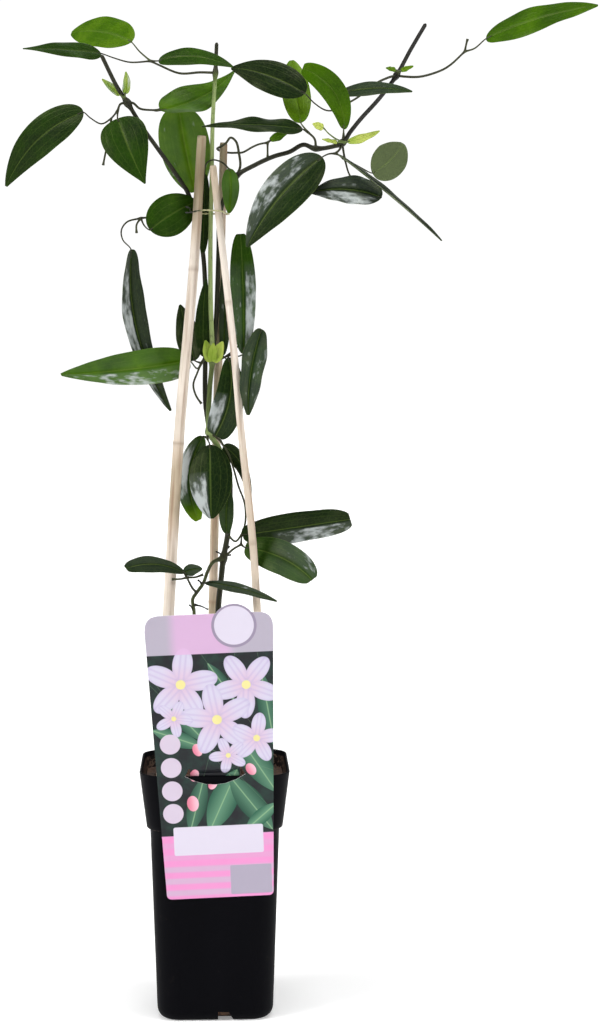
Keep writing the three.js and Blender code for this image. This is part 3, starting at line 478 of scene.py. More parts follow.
# every compound leaf: its stalk from the stem to the fork, the leaflets from there, and any bare stubs
leaves = dict(
    leaf_top_left=dict(stalk=[(2, 0, 695), (-9, -2, 695), (-24, -4, 694), (-38, -7, 699),
        (-45, -9, 702)], leaflets=[
        leaflet((-59, -7, 716), (-105.5, 35, 728), 30, 0.68, (0.1, -1, 0.4), via=[(-53, -8, 709)],
                bend=(0, 0, 4), peak=0.42),
        leaflet((-81, -12, 707), (-134, -55, 704), 16, 0.4, (0, -0.85, 0.5), via=[(-60, -10, 701),
                (-72, -11, 704)], bend=(0, 0, 1), peak=0.3, wave=0.6),
        leaflet((-39, -11, 702), (15, -42, 693.5), 16, 0.45, (0, -0.85, 0.5), bend=(0, 0, 5)),
    ]),
    leaf_left_curled=dict(stalk=[(-62, -8, 672), (-58, -8, 672), (-53, -8, 668), (-41, -6, 667)], leaflets=[
        leaflet((-38, -6, 667), (19, 38, 705), 31, 0.6, (-0.3, -0.9, 0.3), bend=(5, -2, -5), peak=0.24,
                fold=0.3, wave=1.5, twist=50),
        leaflet((-25, 8, 671), (-13, 30, 610), 38, 0.68, (-0.2, -1, 0.1), via=[(-33, 3, 671)],
                bend=(-1, 2, 0), peak=0.42, round=0.42, bloom=(0.4, 0.4)),
    ]),
    leaf_left_hanging=dict(stalk=[(-62, -8, 672), (-67, -10, 671), (-69, -12, 666)], leaflets=[
        leaflet((-69, -14, 660), (-48.5, -30, 611.5), 34, 0.38, (-0.1, -1, 0.1), bend=(-1, -3, 0),
                peak=0.28, round=0.45, fold=0.12),
        leaflet((-94, -10, 665), (-154, 24, 613), 27, 0.36, (0.15, -1, 0.3), via=[(-74, -7, 661),
                (-81, -7, 657), (-89, -9, 661)], bend=(-5, 0, 7)),
    ], stubs=[
        [(-74, -7, 661), (-75, -6, 649), (-78, -7, 637), (-80, -8, 627)],
    ]),
    leaf_top_right=dict(stalk=[(136, 14, 695.5), (142, 12, 694.5), (153, 8, 694), (167.5, 0, 697.5),
        (174, -5, 701), (183.5, -14, 709.5)], leaflets=[
        leaflet((197.5, -27, 717), (271.5, -72, 734), 25.8, 0.6, (-0.15, -0.8, 0.6), via=[(190, -20, 711)],
                bend=(0, 0, 3), wave=0.8),
    ], stubs=[
        [(183.5, -14, 709.5), (184.5, -14, 714.5), (185.5, -14, 718.5)],
    ]),
    leaf_right_middle=dict(stalk=[(136, 14, 695.5), (130, 9, 693.5), (119.5, 3, 688), (106.5, -4, 677.5),
        (98, -9, 672)], leaflets=[
        leaflet((93, -13, 679), (143, -45, 676.5), 13, 0.3, (0, -0.85, 0.5), via=[(94, -11, 675)],
                bend=(0, 0, 3), bloom=(0.4, 0.35)),
        leaflet((67, -13, 679), (13, 8, 699.5), 27, 0.16, (0.1, -1, 0.3), via=[(91, -9, 668),
                (83, -10, 667), (74, -12, 672)], bend=(0, 0, 4), fold=0.1),
    ]),
    leaf_right_rising=dict(stalk=[(94, -16, 643), (95, -17, 648)], leaflets=[
        leaflet((95, -18, 653), (63.5, -38, 694), 18, 0.62, (-0.4, -1, 0.3), bend=(8, -6, 4), peak=0.58,
                fold=0.3),
    ]),
    leaf_right_pair=dict(stalk=[(75, -14, 639), (74, -14, 646), (69, -14, 651)], leaflets=[
        leaflet((64, -11, 658), (58.5, 24, 708), 21, 0.74, (-0.1, -1, 0.2), bend=(0, 1, 0), peak=0.45),
        leaflet((65, -15, 653), (-9, -28, 653), 15, 0.22, (0, -0.75, 0.6), bend=(0, -3, 2), peak=0.3,
                wave=1.5, waves=2.5),
    ]),
    leaf_twining=dict(stalk=[(17, 1, 620), (20, -1, 627), (19, -3, 637), (17, -2, 645), (13, -1, 648),
        (9.5, -0.5, 644), (5.5, 0.8, 641.5), (3.2, 5, 640.5), (5, 9, 639.5), (9, 10, 638.5), (13, 8, 637.8),
        (17, 4, 637.5), (22, 0, 637.5), (29, -4, 641), (34, -5, 643), (40, -6, 644)], leaflets=[
        leaflet((42, -6, 645.5), (56, -3, 653), 8, 0.6, (-0.4, -0.8, 0.5)),
    ], stubs=[
        [(40, -6, 644), (40, -6, 639), (40, -7, 633)],
    ]),
    leaf_right_glossy=dict(stalk=[(94, -16, 643), (92, -19, 638), (89, -20, 635)], leaflets=[
        leaflet((79, -24, 632), (23.5, -72, 564), 32, 0.24, (-0.1, -1, 0.15), via=[(84, -22, 634.5)],
                bend=(-4, 0, 3), fold=0.12, wave=0.8, bloom=(0, 0.74)),
        leaflet((91, -21, 634), (160.5, -84, 568), 10, 0.1, (0.7, -0.5, 0.6), bend=(1, 0, 1), peak=0.45,
                fold=0.45, bloom=(0, 0.25)),
    ]),
    leaf_right_low=dict(stalk=[(94, -16, 643), (95, -14, 638), (96, -13, 632)], leaflets=[
        leaflet((121, -40, 602), (70, -27, 606), 27, 0.12, (0.05, -0.8, 0.6), via=[(100, -17, 619),
                (112.5, -28, 607.5)], bend=(0, 0, 4), wave=0.6, waves=3, bloom=(0.86, 0.5)),
        leaflet((117, -7, 622), (142, 24, 647), 26, 0.5, (0.1, 1, 0.2), via=[(106, -9, 627)],
                bend=(2, 0, -1), peak=0.45, bloom=(0.3, 0.3)),
    ]),
    leaf_middle_bud=dict(stalk=[(17, 1, 620), (13.5, -3.5, 623)], leaflets=[
        leaflet((12, -5.5, 625), (11.5, -12, 592), 13, 0.6, (0.2, -1, 0.1), bend=(1, -1, 0), peak=0.42,
                bloom=(0.4, 0.3)),
        leaflet((-6, 6, 622), (-7.5, 9, 564), 9, 0.3, (0.1, -1, 0), via=[(7, -3.5, 629.5), (0, -4, 631.5),
                (-5, 1, 629)], bend=(0, 1, 0), peak=0.5),
    ]),
    leaf_left_tendril=dict(stalk=[(-18, 6, 607), (-25, 2, 600), (-35, -1, 594), (-46, -3, 590),
        (-53, -5, 589)], leaflets=[
        leaflet((-46, -10, 580), (-12.5, 6, 602), 30, 0.46, (0.2, -1, 0.1), via=[(-50, -8, 583)],
                bend=(-1, -1, 1), peak=0.45),
        leaflet((-60, -8, 566), (-31, 14, 446), 20, 0.2, (0.5, -1, 0), via=[(-63, -7, 586), (-67, -8, 580),
                (-66, -8, 573)], bend=(-11, 4, 0), peak=0.32, round=0.4, fold=0.35, wave=1, twist=60,
                bloom=(0.4, 0.9)),
    ], stubs=[
        [(-53, -5, 589), (-56, -6, 584), (-56, -7, 578)],
    ]),
    leaf_centre_left=dict(stalk=[(-1, 0, 485), (-6, 3, 486), (-9, 4, 483)], leaflets=[
        leaflet((-18, 6, 485), (-109, -62, 475), 30, 0.6, (0, -0.9, 0.45), via=[(-12, 4, 479)],
                bend=(0, 10, -2), peak=0.32, round=0.4, fold=0.2, bloom=(0.72, 0.3)),
        leaflet((-14, 5, 485), (-25, 22, 527), 19, 0.2, (-0.3, -1, 0.1), bend=(0, 1, 0)),
        leaflet((-7, 6, 488), (-5, 6, 546), 12, 0.3, (-0.15, -1, 0), bend=(-1.5, 0, 0), fold=0.1),
    ], stubs=[
        [(-9, 4, 483), (-12, 3, 476), (-15, 1, 467), (-13, 0, 459), (-9, 0, 453)],
    ]),
    leaf_centre_right=dict(stalk=[(-1, 0, 485), (5, -3, 486), (11, -5, 489)], leaflets=[
        leaflet((22, -5, 490), (20, -1, 579), 19, 0.45, (0.1, -1, 0), via=[(18, -5, 488)], bend=(1, 1, 0),
                peak=0.55, fold=0.15, bloom=(0.55, 0.9), bloomSpan=(-0.1, 0.75)),
        leaflet((35.5, -4, 508), (25, -26, 444.5), 19, 0.3, (0.4, -1, 0), via=[(20, -3, 497)],
                bend=(-3, 0, 0), peak=0.4, round=0.5, fold=0.3, wave=1.6, waves=2.5, bloom=(0.6, 0.5)),
        leaflet((11, -7, 487), (1, -10, 429), 23, 0.28, (-0.2, -1, 0), bend=(6, -1, 0), peak=0.66,
                fold=0.25, bloom=(0.2, 0.95), bloomSpan=(0.45, 1)),
        leaflet((7, 7, 489), (8.5, 6.5, 553), 9, 0.35, (0.1, -1, 0), via=[(10, 2, 486)], bend=(1, 0, 0),
                peak=0.5, bloom=(0.5, 0.5)),
    ]),
    leaf_low_left=dict(stalk=[(-3, -1, 432), (-5, -4, 428)], leaflets=[
        leaflet((-3, -7, 423), (-2, -24, 369), 32, 0.2, (-0.1, -1, 0.1), bend=(0, -4, 0), peak=0.42,
                fold=-0.1, bloom=(0, 1), bloomSpan=(0.35, 1.1)),
        leaflet((-8, -2, 429), (-11, -4, 366), 22, 0.42, (-0.6, -1, 0), bend=(-8, 1, 0), peak=0.5,
                bloom=(0.4, 1), bloomSpan=(0.05, 0.8), tipTint=0.32),
    ]),
    leaf_low_right=dict(stalk=[(-3, -1, 432), (1, -4, 429), (5, -6, 426)], leaflets=[
        leaflet((7, -6.5, 422), (27, -9, 360), 13, 0.15, (-0.8, -0.6, 0), bend=(7, 0, 9), peak=0.3,
                fold=0.3, twist=60),
    ], stubs=[
        [(5, -6, 426), (11, -7, 416), (15, -7, 404), (18, -7, 393), (23, -5.5, 378), (22.3, -3, 361),
         (16, -2.8, 351), (11, -5, 355)],
    ]),
    leaf_low_small=dict(stalk=[(10, 1, 355), (9.5, -2, 356)], leaflets=[
        leaflet((9.5, -4, 357), (11, -7, 389), 11, 0.35, (-0.2, -1, 0), bend=(-1, -1, 0), peak=0.5,
                bloom=(0.3, 0.3)),
    ]),
    leaf_foot_right=dict(stalk=[(7, 5, 338), (14, -2, 345), (20, -7, 349)], leaflets=[
        leaflet((21, -8, 356), (104, 26, 365), 24, 0.22, (0, -0.9, 0.4), peak=0.52, round=0.35, fold=0.15,
                wave=0.8, bloom=(0, 0.85), bloomSpan=(0.25, 1.05)),
        leaflet((23, -9, 347), (71.5, -42, 325.5), 26, 0.4, (0.15, -1, 0.3), bend=(3, 0, 4), peak=0.5,
                round=0.4, bloom=(0.6, 0.35), bloomSpan=(0.3, 1.1)),
    ]),
    leaf_foot_front=dict(stalk=[(-8, -3, 320), (-8, -6, 320.5)], leaflets=[
        leaflet((-6, -9, 321), (46, -49, 311), 9, 0.24, (0.1, -0.8, 0.6), bend=(0, -8, 3),
                bloom=(0.5, 0.4)),
    ]),
    leaf_foot_left=dict(stalk=[(-13, -4, 313), (-16, -10, 317), (-20, -20, 326)], leaflets=[
        leaflet((-22, -23, 330), (-63.5, -56, 336), 14, 0.2, (-0.1, -0.85, 0.5), bend=(0, 0, 4.5),
                peak=0.62, round=0.7, bloom=(0.2, 0.3)),
        leaflet((-22, -20, 329.5), (-8.5, -19, 332), 10, 0.25, (0, -0.8, 0.6), bend=(0, 0, 1),
                bloom=(0.4, 0.4)),
    ], stubs=[
        [(-20, -20, 326), (-25, -21, 325), (-31, -22, 325)],
        [(-20, -20, 326), (-14, -19, 326), (-8, -19, 328)],
    ]),
    shoot_left=dict(stalk=[(-62, -8, 672), (-64, -14, 675)], leaflets=[
        leaflet((-67, -15, 677), (-80, -18, 688), 5.5, 0.88, (-0.3, -1, 0.4), bloom=(0.85, 0.7)),
        leaflet((-63.5, -14.5, 678), (-63, -13, 694), 6, 0.85, (0.4, -1, 0), bend=(1, 0, 0),
                bloom=(0.8, 0.85)),
    ]),
    shoot_right=dict(stalk=[(94, -16, 643), (96, -19, 643)], leaflets=[
        leaflet((98, -20, 643.5), (121, -25, 651), 8, 0.95, (0, -0.8, 0.6), bend=(0, 0, -1)),
        leaflet((80, -23, 653), (72, -24, 656), 6, 1, (0, -1, 0.4), via=[(90, -21, 645), (84, -22, 649)]),
        leaflet((90, -21, 643), (79, -23, 645), 4, 1, (0, -0.8, 0.6)),
    ]),
    shoot_top_right=dict(stalk=[(136, 14, 695.5), (137, 10, 697.5)], leaflets=[
        leaflet((139, 9, 698.5), (148, 6, 701.5), 4, 0.72, (0, -1, 0.4)),
        leaflet((135, 9, 699), (127.5, 6, 700), 4, 0.72, (0, -1, 0.4)),
    ]),
    shoot_centre=dict(stalk=[(-1, 0, 485), (-1, -3, 484)], leaflets=[
        leaflet((0, -5, 484), (7, -9, 499), 10, 0.92, (-0.3, -1, 0.3)),
        leaflet((-2, -5, 484), (-6, -8, 500), 9, 0.94, (0.3, -1, 0.3)),
        leaflet((-1, -5.5, 484), (0, -12, 498), 7, 0.9, (0, -1, 0.4)),
    ]),
)

for name, leaf in leaves.items():
    buildPiece(name + "_fine", leafParts(leaf), [leafBlade, stemBark], name)
print("leaves made:", len(leaves))


# stems: each a ribbed tube that swells at the knots
stems = dict(
    main=dict(radii=(2.3, 1.3), points=[
        (5, 6, 150), (4, 7, 230), (3, 8, 298), (5, 7, 320), (7, 5, 338), (10, 1, 355), (12, 0, 385),
        (11, -1, 402), (4, -2, 420), (-3, -1, 432), (-3, 0, 462), (-1, 0, 485), (-2, 0, 529), (-2, 0, 573),
        (-1, 0, 617), (0, 0, 661), (2, 0, 695), (3, 1, 717),
    ]),
    left=dict(radii=(1.9, 1.5), points=[
        (-3, -1, 432), (-6, 8, 453), (-6, 12, 496), (-6, 13, 539), (-8, 11, 567), (-14, 8, 592),
        (-18, 6, 607), (-24, 4, 617), (-42, -2, 642), (-50, -4, 653), (-62, -8, 672), (-69.5, -20, 683),
        (-79.5, -32, 703),
    ]),
    right=dict(radii=(1.7, 1.4), points=[
        (-1, 0, 485), (2, 4, 515), (3, 4, 537), (4, 4, 566), (5, 3, 592), (10, 2, 608), (17, 1, 620),
        (31, -4, 628), (45, -8, 634), (56, -10, 637), (66, -12, 642), (75, -14, 639), (94, -16, 643),
        (100, -14, 651), (107.5, -8, 660.5), (123, 4, 678), (136, 14, 695.5), (147.5, 25, 716),
        (160, 38, 737),
    ]),
    twig=dict(radii=(1.1, 1.3), points=[
        (-12, -3, 150), (-15, -4, 299), (-16, -4, 308), (-13, -4, 313), (-8, -3, 320), (-5, -2, 328),
        (-1, 1, 335), (7, 5, 338),
    ]),
)
stemLook = dict(sides=20, spacing=1.2, ribs=6, ribDepth=0.07, knotLength=3.2, endShare=0.5)
# the tint of each stem at some heights
stemTints = dict(
    main=((150, 0.12), (405, 0.2), (418, 0.6), (432, 0.8), (446, 0.55), (480, 0.5), (500, 0.85),
          (684, 0.85), (700, 0.15)),
    left=((432, 0.5), (450, 0.12)),
    right=((480, 0.5), (500, 0.12), (640, 0.12), (660, 0.0)),
    twig=((150, 0.5), (338, 0.35)),
)
knots = [
    # centre and radius
    ((-3, -1, 432), 3.4), ((-1, 0, 485), 2.8), ((2, 0, 695), 2.2), ((-62, -8, 672), 3.2),
    ((75, -14, 639), 2.2), ((94, -16, 643), 2.8), ((136, 14, 695.5), 2.6), ((7, 5, 338), 3),
    ((17, 1, 620), 2.3),
]
spurs = [
    # short dead spurs at the lower forks: each from the stem to its tip
    ((7, 5, 339), (1.5, 2.5, 343)), ((7, 5, 340), (7.6, 2.5, 348.5)), ((8, 4.5, 341), (11.5, 2.2, 347)),
    ((7.4, 4.8, 338), (12.5, 2.4, 340.5)), ((-14.5, -4, 304), (-4.5, -5.2, 300.5)),
    ((-15.4, -4, 300), (-18.5, -5.5, 304)), ((-9, -3, 319), (-12, -5.5, 322.5)),
]
spurLook = dict(root=0.75, tip=0.3, rise=0.6)


def stemPart(name):
    # radius = taper along the stem, raised to each knot's own radius by a bell curve round the knot
    look = stemLook
    start, end = stems[name]["radii"]
    path, along = smoothPath(stems[name]["points"], look["spacing"])
    radius = start + (end - start) * along / along[-1]
    for centre, size in knots:
        far = np.linalg.norm(path - np.array(centre), axis=1)
        radius = radius + np.maximum(size - radius, 0) * bell(far, look["knotLength"])
    radius[-1] *= look["endShare"]
    tint = np.interp(path[:, 2], *zip(*stemTints[name]))
    surface = tubeSurface(path, radius, look["sides"], look["ribs"], look["ribDepth"])
    return gridPart(surface, uv=tubeUv(along, start, look["sides"]), tint=tint[:, None])


def spurPart(start, end):
    # a thin spike that bends a little upward on its way
    start, end = np.array(start, float), np.array(end, float)
    middle = (start + end) / 2 + (0, 0, spurLook["rise"])
    return stalkPart([tuple(start), tuple(middle), tuple(end)], spurLook["root"], spurLook["tip"], 0.0)


vineParts = [stemPart(name) for name in stems] + [spurPart(*ends) for ends in spurs]
buildPiece("vine_fine", vineParts, [stemBark], "vine")
print("stems made")


# canes: pale split cane with long fibres, a ring at each node and a sawn top
canes = dict(
    cane_left=dict(
        radii=(3.4, 4.8), rings=(0.185, 0.43, 0.82),
        tints=((301, 0.08), (350, 0.12), (375, 0.55), (406, 0.48), (433, 0.1), (565, 0.08), (592, 0.5),
               (618, 0.75), (645, 0.65)),
        points=[(-8, -2, 649), (-14, -4.5, 557), (-25.3, -8.5, 432), (-33.8, -12, 297), (-38, -14, 215),
                (-39, -15, 125)],
    ),
    cane_right=dict(
        radii=(2.6, 3.0), rings=(0.2, 0.55, 0.86),
        tints=((306, 0.25), (354, 0.25), (403, 0.25), (452, 0.05), (574, 0.0), (598, 0.25), (623, 0.5)),
        points=[(0, -7, 627), (15, -15, 491), (20.2, -18, 432), (28.4, -23, 352), (31.5, -25, 302),
                (35, -28, 215), (36, -29, 125)],
    ),
    cane_rear=dict(
        radii=(2.9, 3.6), rings=(0.3, 0.66),
        tints=((299, 0.6), (325, 0.35), (351, 0.5), (500, 0.6), (588, 0.3), (641, 0.7)),
        points=[(8, 5, 645), (-1, 30, 295), (-2, 34, 215), (-2, 35, 125)],
    ),
)
caneLook = dict(
    sides=32, spacing=2.0, thinner=0.97, ringHeight=0.22, ringLength=1.3, flats=5, flat=0.03, taper=0.3,
    tones=[(0.0, rgb(230, 219, 206)), (0.35, rgb(200, 182, 160)), (0.7, rgb(152, 138, 108)),
           (1.0, rgb(104, 90, 64))],
    streak=rgb(142, 108, 82), streakShare=0.7, ring=rgb(130, 100, 74), ringShare=0.45, roughness=(0.5, 0.75),
)


def makeCaneFinish():
    look = caneLook
    material = newMaterial("cane_wood")
    surface = surfacePlace()
    fibres = streaky(surface, (30.0, 0.35), 8.0, 6.0)
    patches = streaky(surface, (4.0, 1.0), 3.0, 2.0)
    tone = vary(vary(mark("tint"), fibres, 0.3, clamp=False), patches, 0.35)
    streaks = between(streaky(surface, (16.0, 0.6), 1.0, 3.0), 0.48, 0.66, 0.0, look["streakShare"])
    colour = blend(streaks, ramp(tone, look["tones"]), look["streak"])
    return dress(material, {
        "Base Color": blend(times(mark("ring"), look["ringShare"]), colour, look["ring"]),
        "Roughness": between(fibres, 0.3, 0.7, *look["roughness"]), "Normal": bump(fibres, 0.4, 0.0004),
    })


caneWood = makeCaneFinish()


def canePart(cane):
    # a tapered tube, slightly flat-sided, with a raised ring at each node and rounded cut ends
    look = caneLook
    top, foot = cane["radii"]
    path, along = smoothPath(cane["points"], look["spacing"])
    ring = sum(bell(along - r * along[-1], look["ringLength"]) for r in cane["rings"])
    radius = (top + (foot - top) * along / along[-1]) * look["thinner"] + look["ringHeight"] * ring
    radius[[0, -1]] -= look["taper"]
    surface = tubeSurface(path, radius, look["sides"], look["flats"], look["flat"])
    tint = np.interp(path[:, 2], *zip(*cane["tints"]))
    return gridPart(surface, uv=tubeUv(along, foot, look["sides"]), tint=tint[:, None], ring=ring[:, None])


for name, cane in canes.items():
    buildPiece(name + "_fine", [canePart(cane)], [caneWood], name)
print("canes made")


# tie: a wire wrapped in two thin strands round the canes, pale in front and dark at its twisted ends
tie = dict(
    radius=0.66, strand=0.36, sides=12, spacing=0.8, twistLength=7.0, darkEnd=6, fade=10, pale=0.9,
    points=[(-20, -10, 597), (-17, -6.5, 596), (-16.8, -2.6, 594.5), (-13.6, 0.9, 592.8), (-8, 2.4, 592.8),
            (-4, 4.8, 593), (1, 8, 593), (3, 12, 593), (7.5, 13.4, 593), (11.5, 10, 593), (11, 3, 593),
            (8, -5, 593), (6.7, -11.9, 593.5), (2, -13.2, 594), (-6, -11.5, 594.5), (-12, -9, 594),
            (-16, -9.5, 593), (-20, -13, 592.5)],
    tones=[(0.0, rgb(22, 26, 20)), (0.5, rgb(74, 78, 52)), (1.0, rgb(190, 186, 138))],
)


def makeTieFinish():
    material = newMaterial("tie_plastic")
    speckle = noise(objectPlace(), 400.0, 3.0)
    return dress(material, {
        "Base Color": ramp(vary(mark("tint"), speckle, 0.3), tie["tones"]),
        "Roughness": between(speckle, 0.3, 0.7, 0.4, 0.6), "Normal": bump(speckle, 0.3, 0.0002),
    })


def tieParts():
    # two strands that turn round the tie's own line, half a turn apart
    path, along = smoothPath(tie["points"], tie["spacing"])
    tangent = unit(np.gradient(path, axis=0))
    normal = unit(np.cross(tangent, (0.0, 0.0, 1.0)))
    binormal = np.cross(tangent, normal)
    ends = np.minimum(along, along[-1] - along)
    tint = np.clip((ends - tie["darkEnd"]) / tie["fade"], 0, 1) * tie["pale"]
    parts = []
    for half in (0, np.pi):
        a = (2 * np.pi * along / tie["twistLength"] + half)[:, None]
        line = path + (tie["radius"] - tie["strand"]) * (np.cos(a) * normal + np.sin(a) * binormal)
        surface = tubeSurface(line, tie["strand"], tie["sides"])
        parts.append(gridPart(surface, uv=tubeUv(along, tie["strand"], tie["sides"]), tint=tint[:, None]))
    return parts


buildPiece("cane_tie_fine", tieParts(), [makeTieFinish()], "cane_tie")
print("tie made")


# pot: a thin square shell with a wider collar, moulded in one piece
pot = dict(height=185, rimWidth=110, collarFootWidth=100, collarHeight=42, bodyWidth=95, baseWidth=85.5,
           rimCorner=20, bodyCorner=18, baseCorner=17, footRound=8, footInset=5.6, wall=1.6, floor=2.4,
           rise=6, floorInset=4, floorCorner=12, cornerSteps=14, sideSteps=10, sharp=38)
notch = dict(topWidth=8, footWidth=12, height=7, depth=14, offset=6)
potLook = dict(black=(rgb(4, 4, 7), rgb(9, 9, 13)), dust=rgb(70, 62, 54), dustShare=0.25,
               dustAndLight=rgb(92, 76, 66), dustAndLightShare=0.85, gloss=0.035)
bodyHeight = pot["height"] - pot["collarHeight"]


def squareRings(profile):
    # for each row (width, corner, z) a square with round corners: the corners are arcs and the sides straight
    width, corner, z = (np.array(profile, float)[:, k][:, None] for k in range(3))
    reach = width / 2 - corner
    s = np.linspace(0, 1, pot["sideSteps"] + 1)[1:-1]
    parts = [[], []]
    for side in range(4):
        a = (side + np.linspace(0, 1, pot["cornerSteps"] + 1)) * np.pi / 2
        middle = (side + 0.5) * np.pi / 2
        for part, wave in zip(parts, (np.cos, np.sin)):
            arc = np.sign(wave(middle)) * reach + corner * wave(a)
            onward = np.sign(wave(middle + np.pi / 2)) * reach + corner * wave(a[-1])
            part += [arc, arc[:, -1:] + (onward - arc[:, -1:]) * s]
    x, y = (np.concatenate(part, 1) for part in parts)
    return np.stack([x, y, np.broadcast_to(z, x.shape)], -1)


def mixed(low, high, share):
    return low + (high - low) * share


def bodyAt(z, wall=0):
    # width and corner of the pot's body at a height, taken in by the wall where one is given
    share = z / bodyHeight
    width = mixed(pot["baseWidth"], pot["bodyWidth"], share)
    return width - 2 * wall, mixed(pot["baseCorner"], pot["bodyCorner"], share) - wall


def collarAt(z, wall=0):
    width = mixed(pot["collarFootWidth"], pot["rimWidth"], (z - bodyHeight) / pot["collarHeight"])
    return width - 2 * wall, pot["rimCorner"] - wall


def potProfile():
    # up the outside from the middle of the base, over the rim, and down the inside to the floor's middle
    p = pot
    top, wall = p["height"], p["wall"]
    rows = [(p["baseWidth"] * s, p["baseCorner"] * s, 0) for s in (0.2, 0.5, 0.75)]
    for s in np.linspace(0, 1, 7):
        z = p["footRound"] * (1 - math.cos(s * math.pi / 2))
        inset = p["footInset"] * (1 - math.sin(s * math.pi / 2))
        rows.append((bodyAt(z)[0] - 2 * inset, p["baseCorner"] - inset, z))
    rows += [(*bodyAt(z), z) for z in np.linspace(p["footRound"] + 6, bodyHeight - 0.6, 12)]
    rows += [
        (p["bodyWidth"] + 0.5, p["bodyCorner"] + 0.2, bodyHeight - 0.05),
        (p["collarFootWidth"] - 0.9, p["rimCorner"] - 0.4, bodyHeight),
        (p["collarFootWidth"] - 0.1, p["rimCorner"], bodyHeight + 0.5),
    ]
    rows += [(*collarAt(z), z) for z in np.linspace(bodyHeight + 4, top - 1, 6)]
    rows += [
        (p["rimWidth"] - 0.1, p["rimCorner"], top - 0.4),
        (p["rimWidth"] - 0.7, p["rimCorner"] - 0.3, top),
        (p["rimWidth"] - 2 * wall + 0.6, p["rimCorner"] - wall, top),
        (p["rimWidth"] - 2 * wall, p["rimCorner"] - wall, top - 0.5),
    ]
    rows += [(*collarAt(z, wall), z) for z in np.linspace(top - 4, bodyHeight + wall + 0.5, 6)]
    rows.append((*bodyAt(bodyHeight, wall), bodyHeight + wall))
    rows += [(*bodyAt(z, wall), z) for z in np.linspace(bodyHeight - 2, p["floor"] + p["rise"], 5)]
    inner = bodyAt(p["floor"], wall)[0] - 2 * p["floorInset"]
    rows += [(inner * s, p["floorCorner"] * s, p["floor"]) for s in (1, 0.7, 0.3)]
    return rows


def makePotFinish():
    look = potLook
    material = newMaterial("pot_plastic")
    place = objectPlace()
    flow = noise(stretched(place, (40.0, 40.0, 4.0)), 1.0)
    dust = between(noise(place, 45.0, 6.0, 0.7), 0.62, 0.85, 0.0, look["dustShare"])
    colour = blend(dust, blend(flow, *look["black"]), look["dust"])
    # the walls inside face the middle, where the normal runs against the place, and carry more dust; the pale
    # specks there are partly dust and partly painted light falling from above on the inner walls
    turned = vectors("DOT_PRODUCT", place, addNode("TexCoord", (), "Normal"), "Value")
    specks = between(noise(place, 380.0, 3.0), 0.48, 0.6, 0.08, look["dustAndLightShare"])
    dustAndLight = times(between(turned, -0.03, -0.02, 1.0, 0.0), specks)
    height = timesPlus(noise(place, 900.0, 3.0), 0.3, flow)
    return dress(material, {
        "Base Color": blend(dustAndLight, colour, look["dustAndLight"]), "Roughness": timesPlus(flow, 0.18, 0.4),
        "Normal": bump(height, 0.15, 0.0004), "Specular IOR Level": look["gloss"],
    })


def cutNotches(piece):
    # four drain notches, each a wedge through the wall and the edge of the floor
    half, high = notch["topWidth"] / 2, notch["height"]
    outline = np.array([(-half, high), (-half, -1), (notch["footWidth"] - half, -1), (half, high)])
    start = np.full(4, -pot["baseWidth"] / 2 - 1)
    front = np.column_stack([outline[:, 0] + notch["offset"], start, outline[:, 1]])
    wedge = np.vstack([front, front + (0, notch["depth"], 0)])
    sides = ((0, 1, 2, 3), (7, 6, 5, 4), (0, 4, 5, 1), (1, 5, 6, 2), (2, 6, 7, 3), (3, 7, 4, 0))
    corners, faces = [], []
    for side in range(4):
        c, s = math.cos(side * math.pi / 2), math.sin(side * math.pi / 2)
        corners.append(wedge @ np.array([[c, s, 0], [-s, c, 0], [0, 0, 1]]) * mm)
        faces += [[8 * side + v for v in face] for face in sides]
    mesh = bpy.data.meshes.new("notch_cutter")
    mesh.from_pydata(np.vstack(corners).tolist(), [], faces)
    cutter = addObject("notch_cutter", mesh)
    cut = piece.modifiers.new("notches", "BOOLEAN")
    cut.object = cutter
    cut.operation = "DIFFERENCE"
    cut.solver = "EXACT"
    bpy.context.view_layer.update()
    seen = piece.evaluated_get(bpy.context.evaluated_depsgraph_get())
    piece.data = bpy.data.meshes.new_from_object(seen)
    piece.modifiers.clear()
    bpy.data.objects.remove(cutter)


potPiece = buildPiece("pot_fine", [gridPart(squareRings(potProfile()))], [makePotFinish()], "pot")
cutNotches(potPiece)
potPiece.data.set_sharp_from_angle(angle=math.radians(pot["sharp"]))
print("pot made")


# soil: a filled body whose top is a heap of crumbs
soil = dict(
    top=173, gap=0.3, mound=2.2, rings=46, waves=60, waveLength=(3, 26), crumbs=260, crumbSize=(0.6, 2.2),
    crumbGrid=(4, 7),
    tones=[(0.3, rgb(26, 17, 12)), (0.5, rgb(62, 42, 30)), (0.68, rgb(98, 70, 50)), (0.8, rgb(140, 112, 84))],
)


def makeSoilFinish():
    material = newMaterial("soil_mix")
    place = objectPlace()
    grain = noise(place, 420.0, 6.0, 0.65)
    tone = timesPlus(grain, 0.7, times(noise(place, 90.0, 3.0), 0.35), clamp=True)
    return dress(material, {
        "Base Color": ramp(tone, soil["tones"]), "Roughness": between(grain, 0.3, 0.8, 0.8, 1.0),
        "Normal": bump(grain, 0.9, 0.0012),
    })


def soilHeight(x, y):
    # a sum of plane waves in random directions, the short ones lower than the long ones
    total = np.zeros_like(x)
    for _ in range(soil["waves"]):
        length = rng.uniform(*soil["waveLength"])
        angle, phase = rng.uniform(0, 2 * np.pi, 2)
        way = (x * np.cos(angle) + y * np.sin(angle)) * 2 * np.pi / length
        total = total + length ** 0.7 * np.sin(way + phase)
    return total


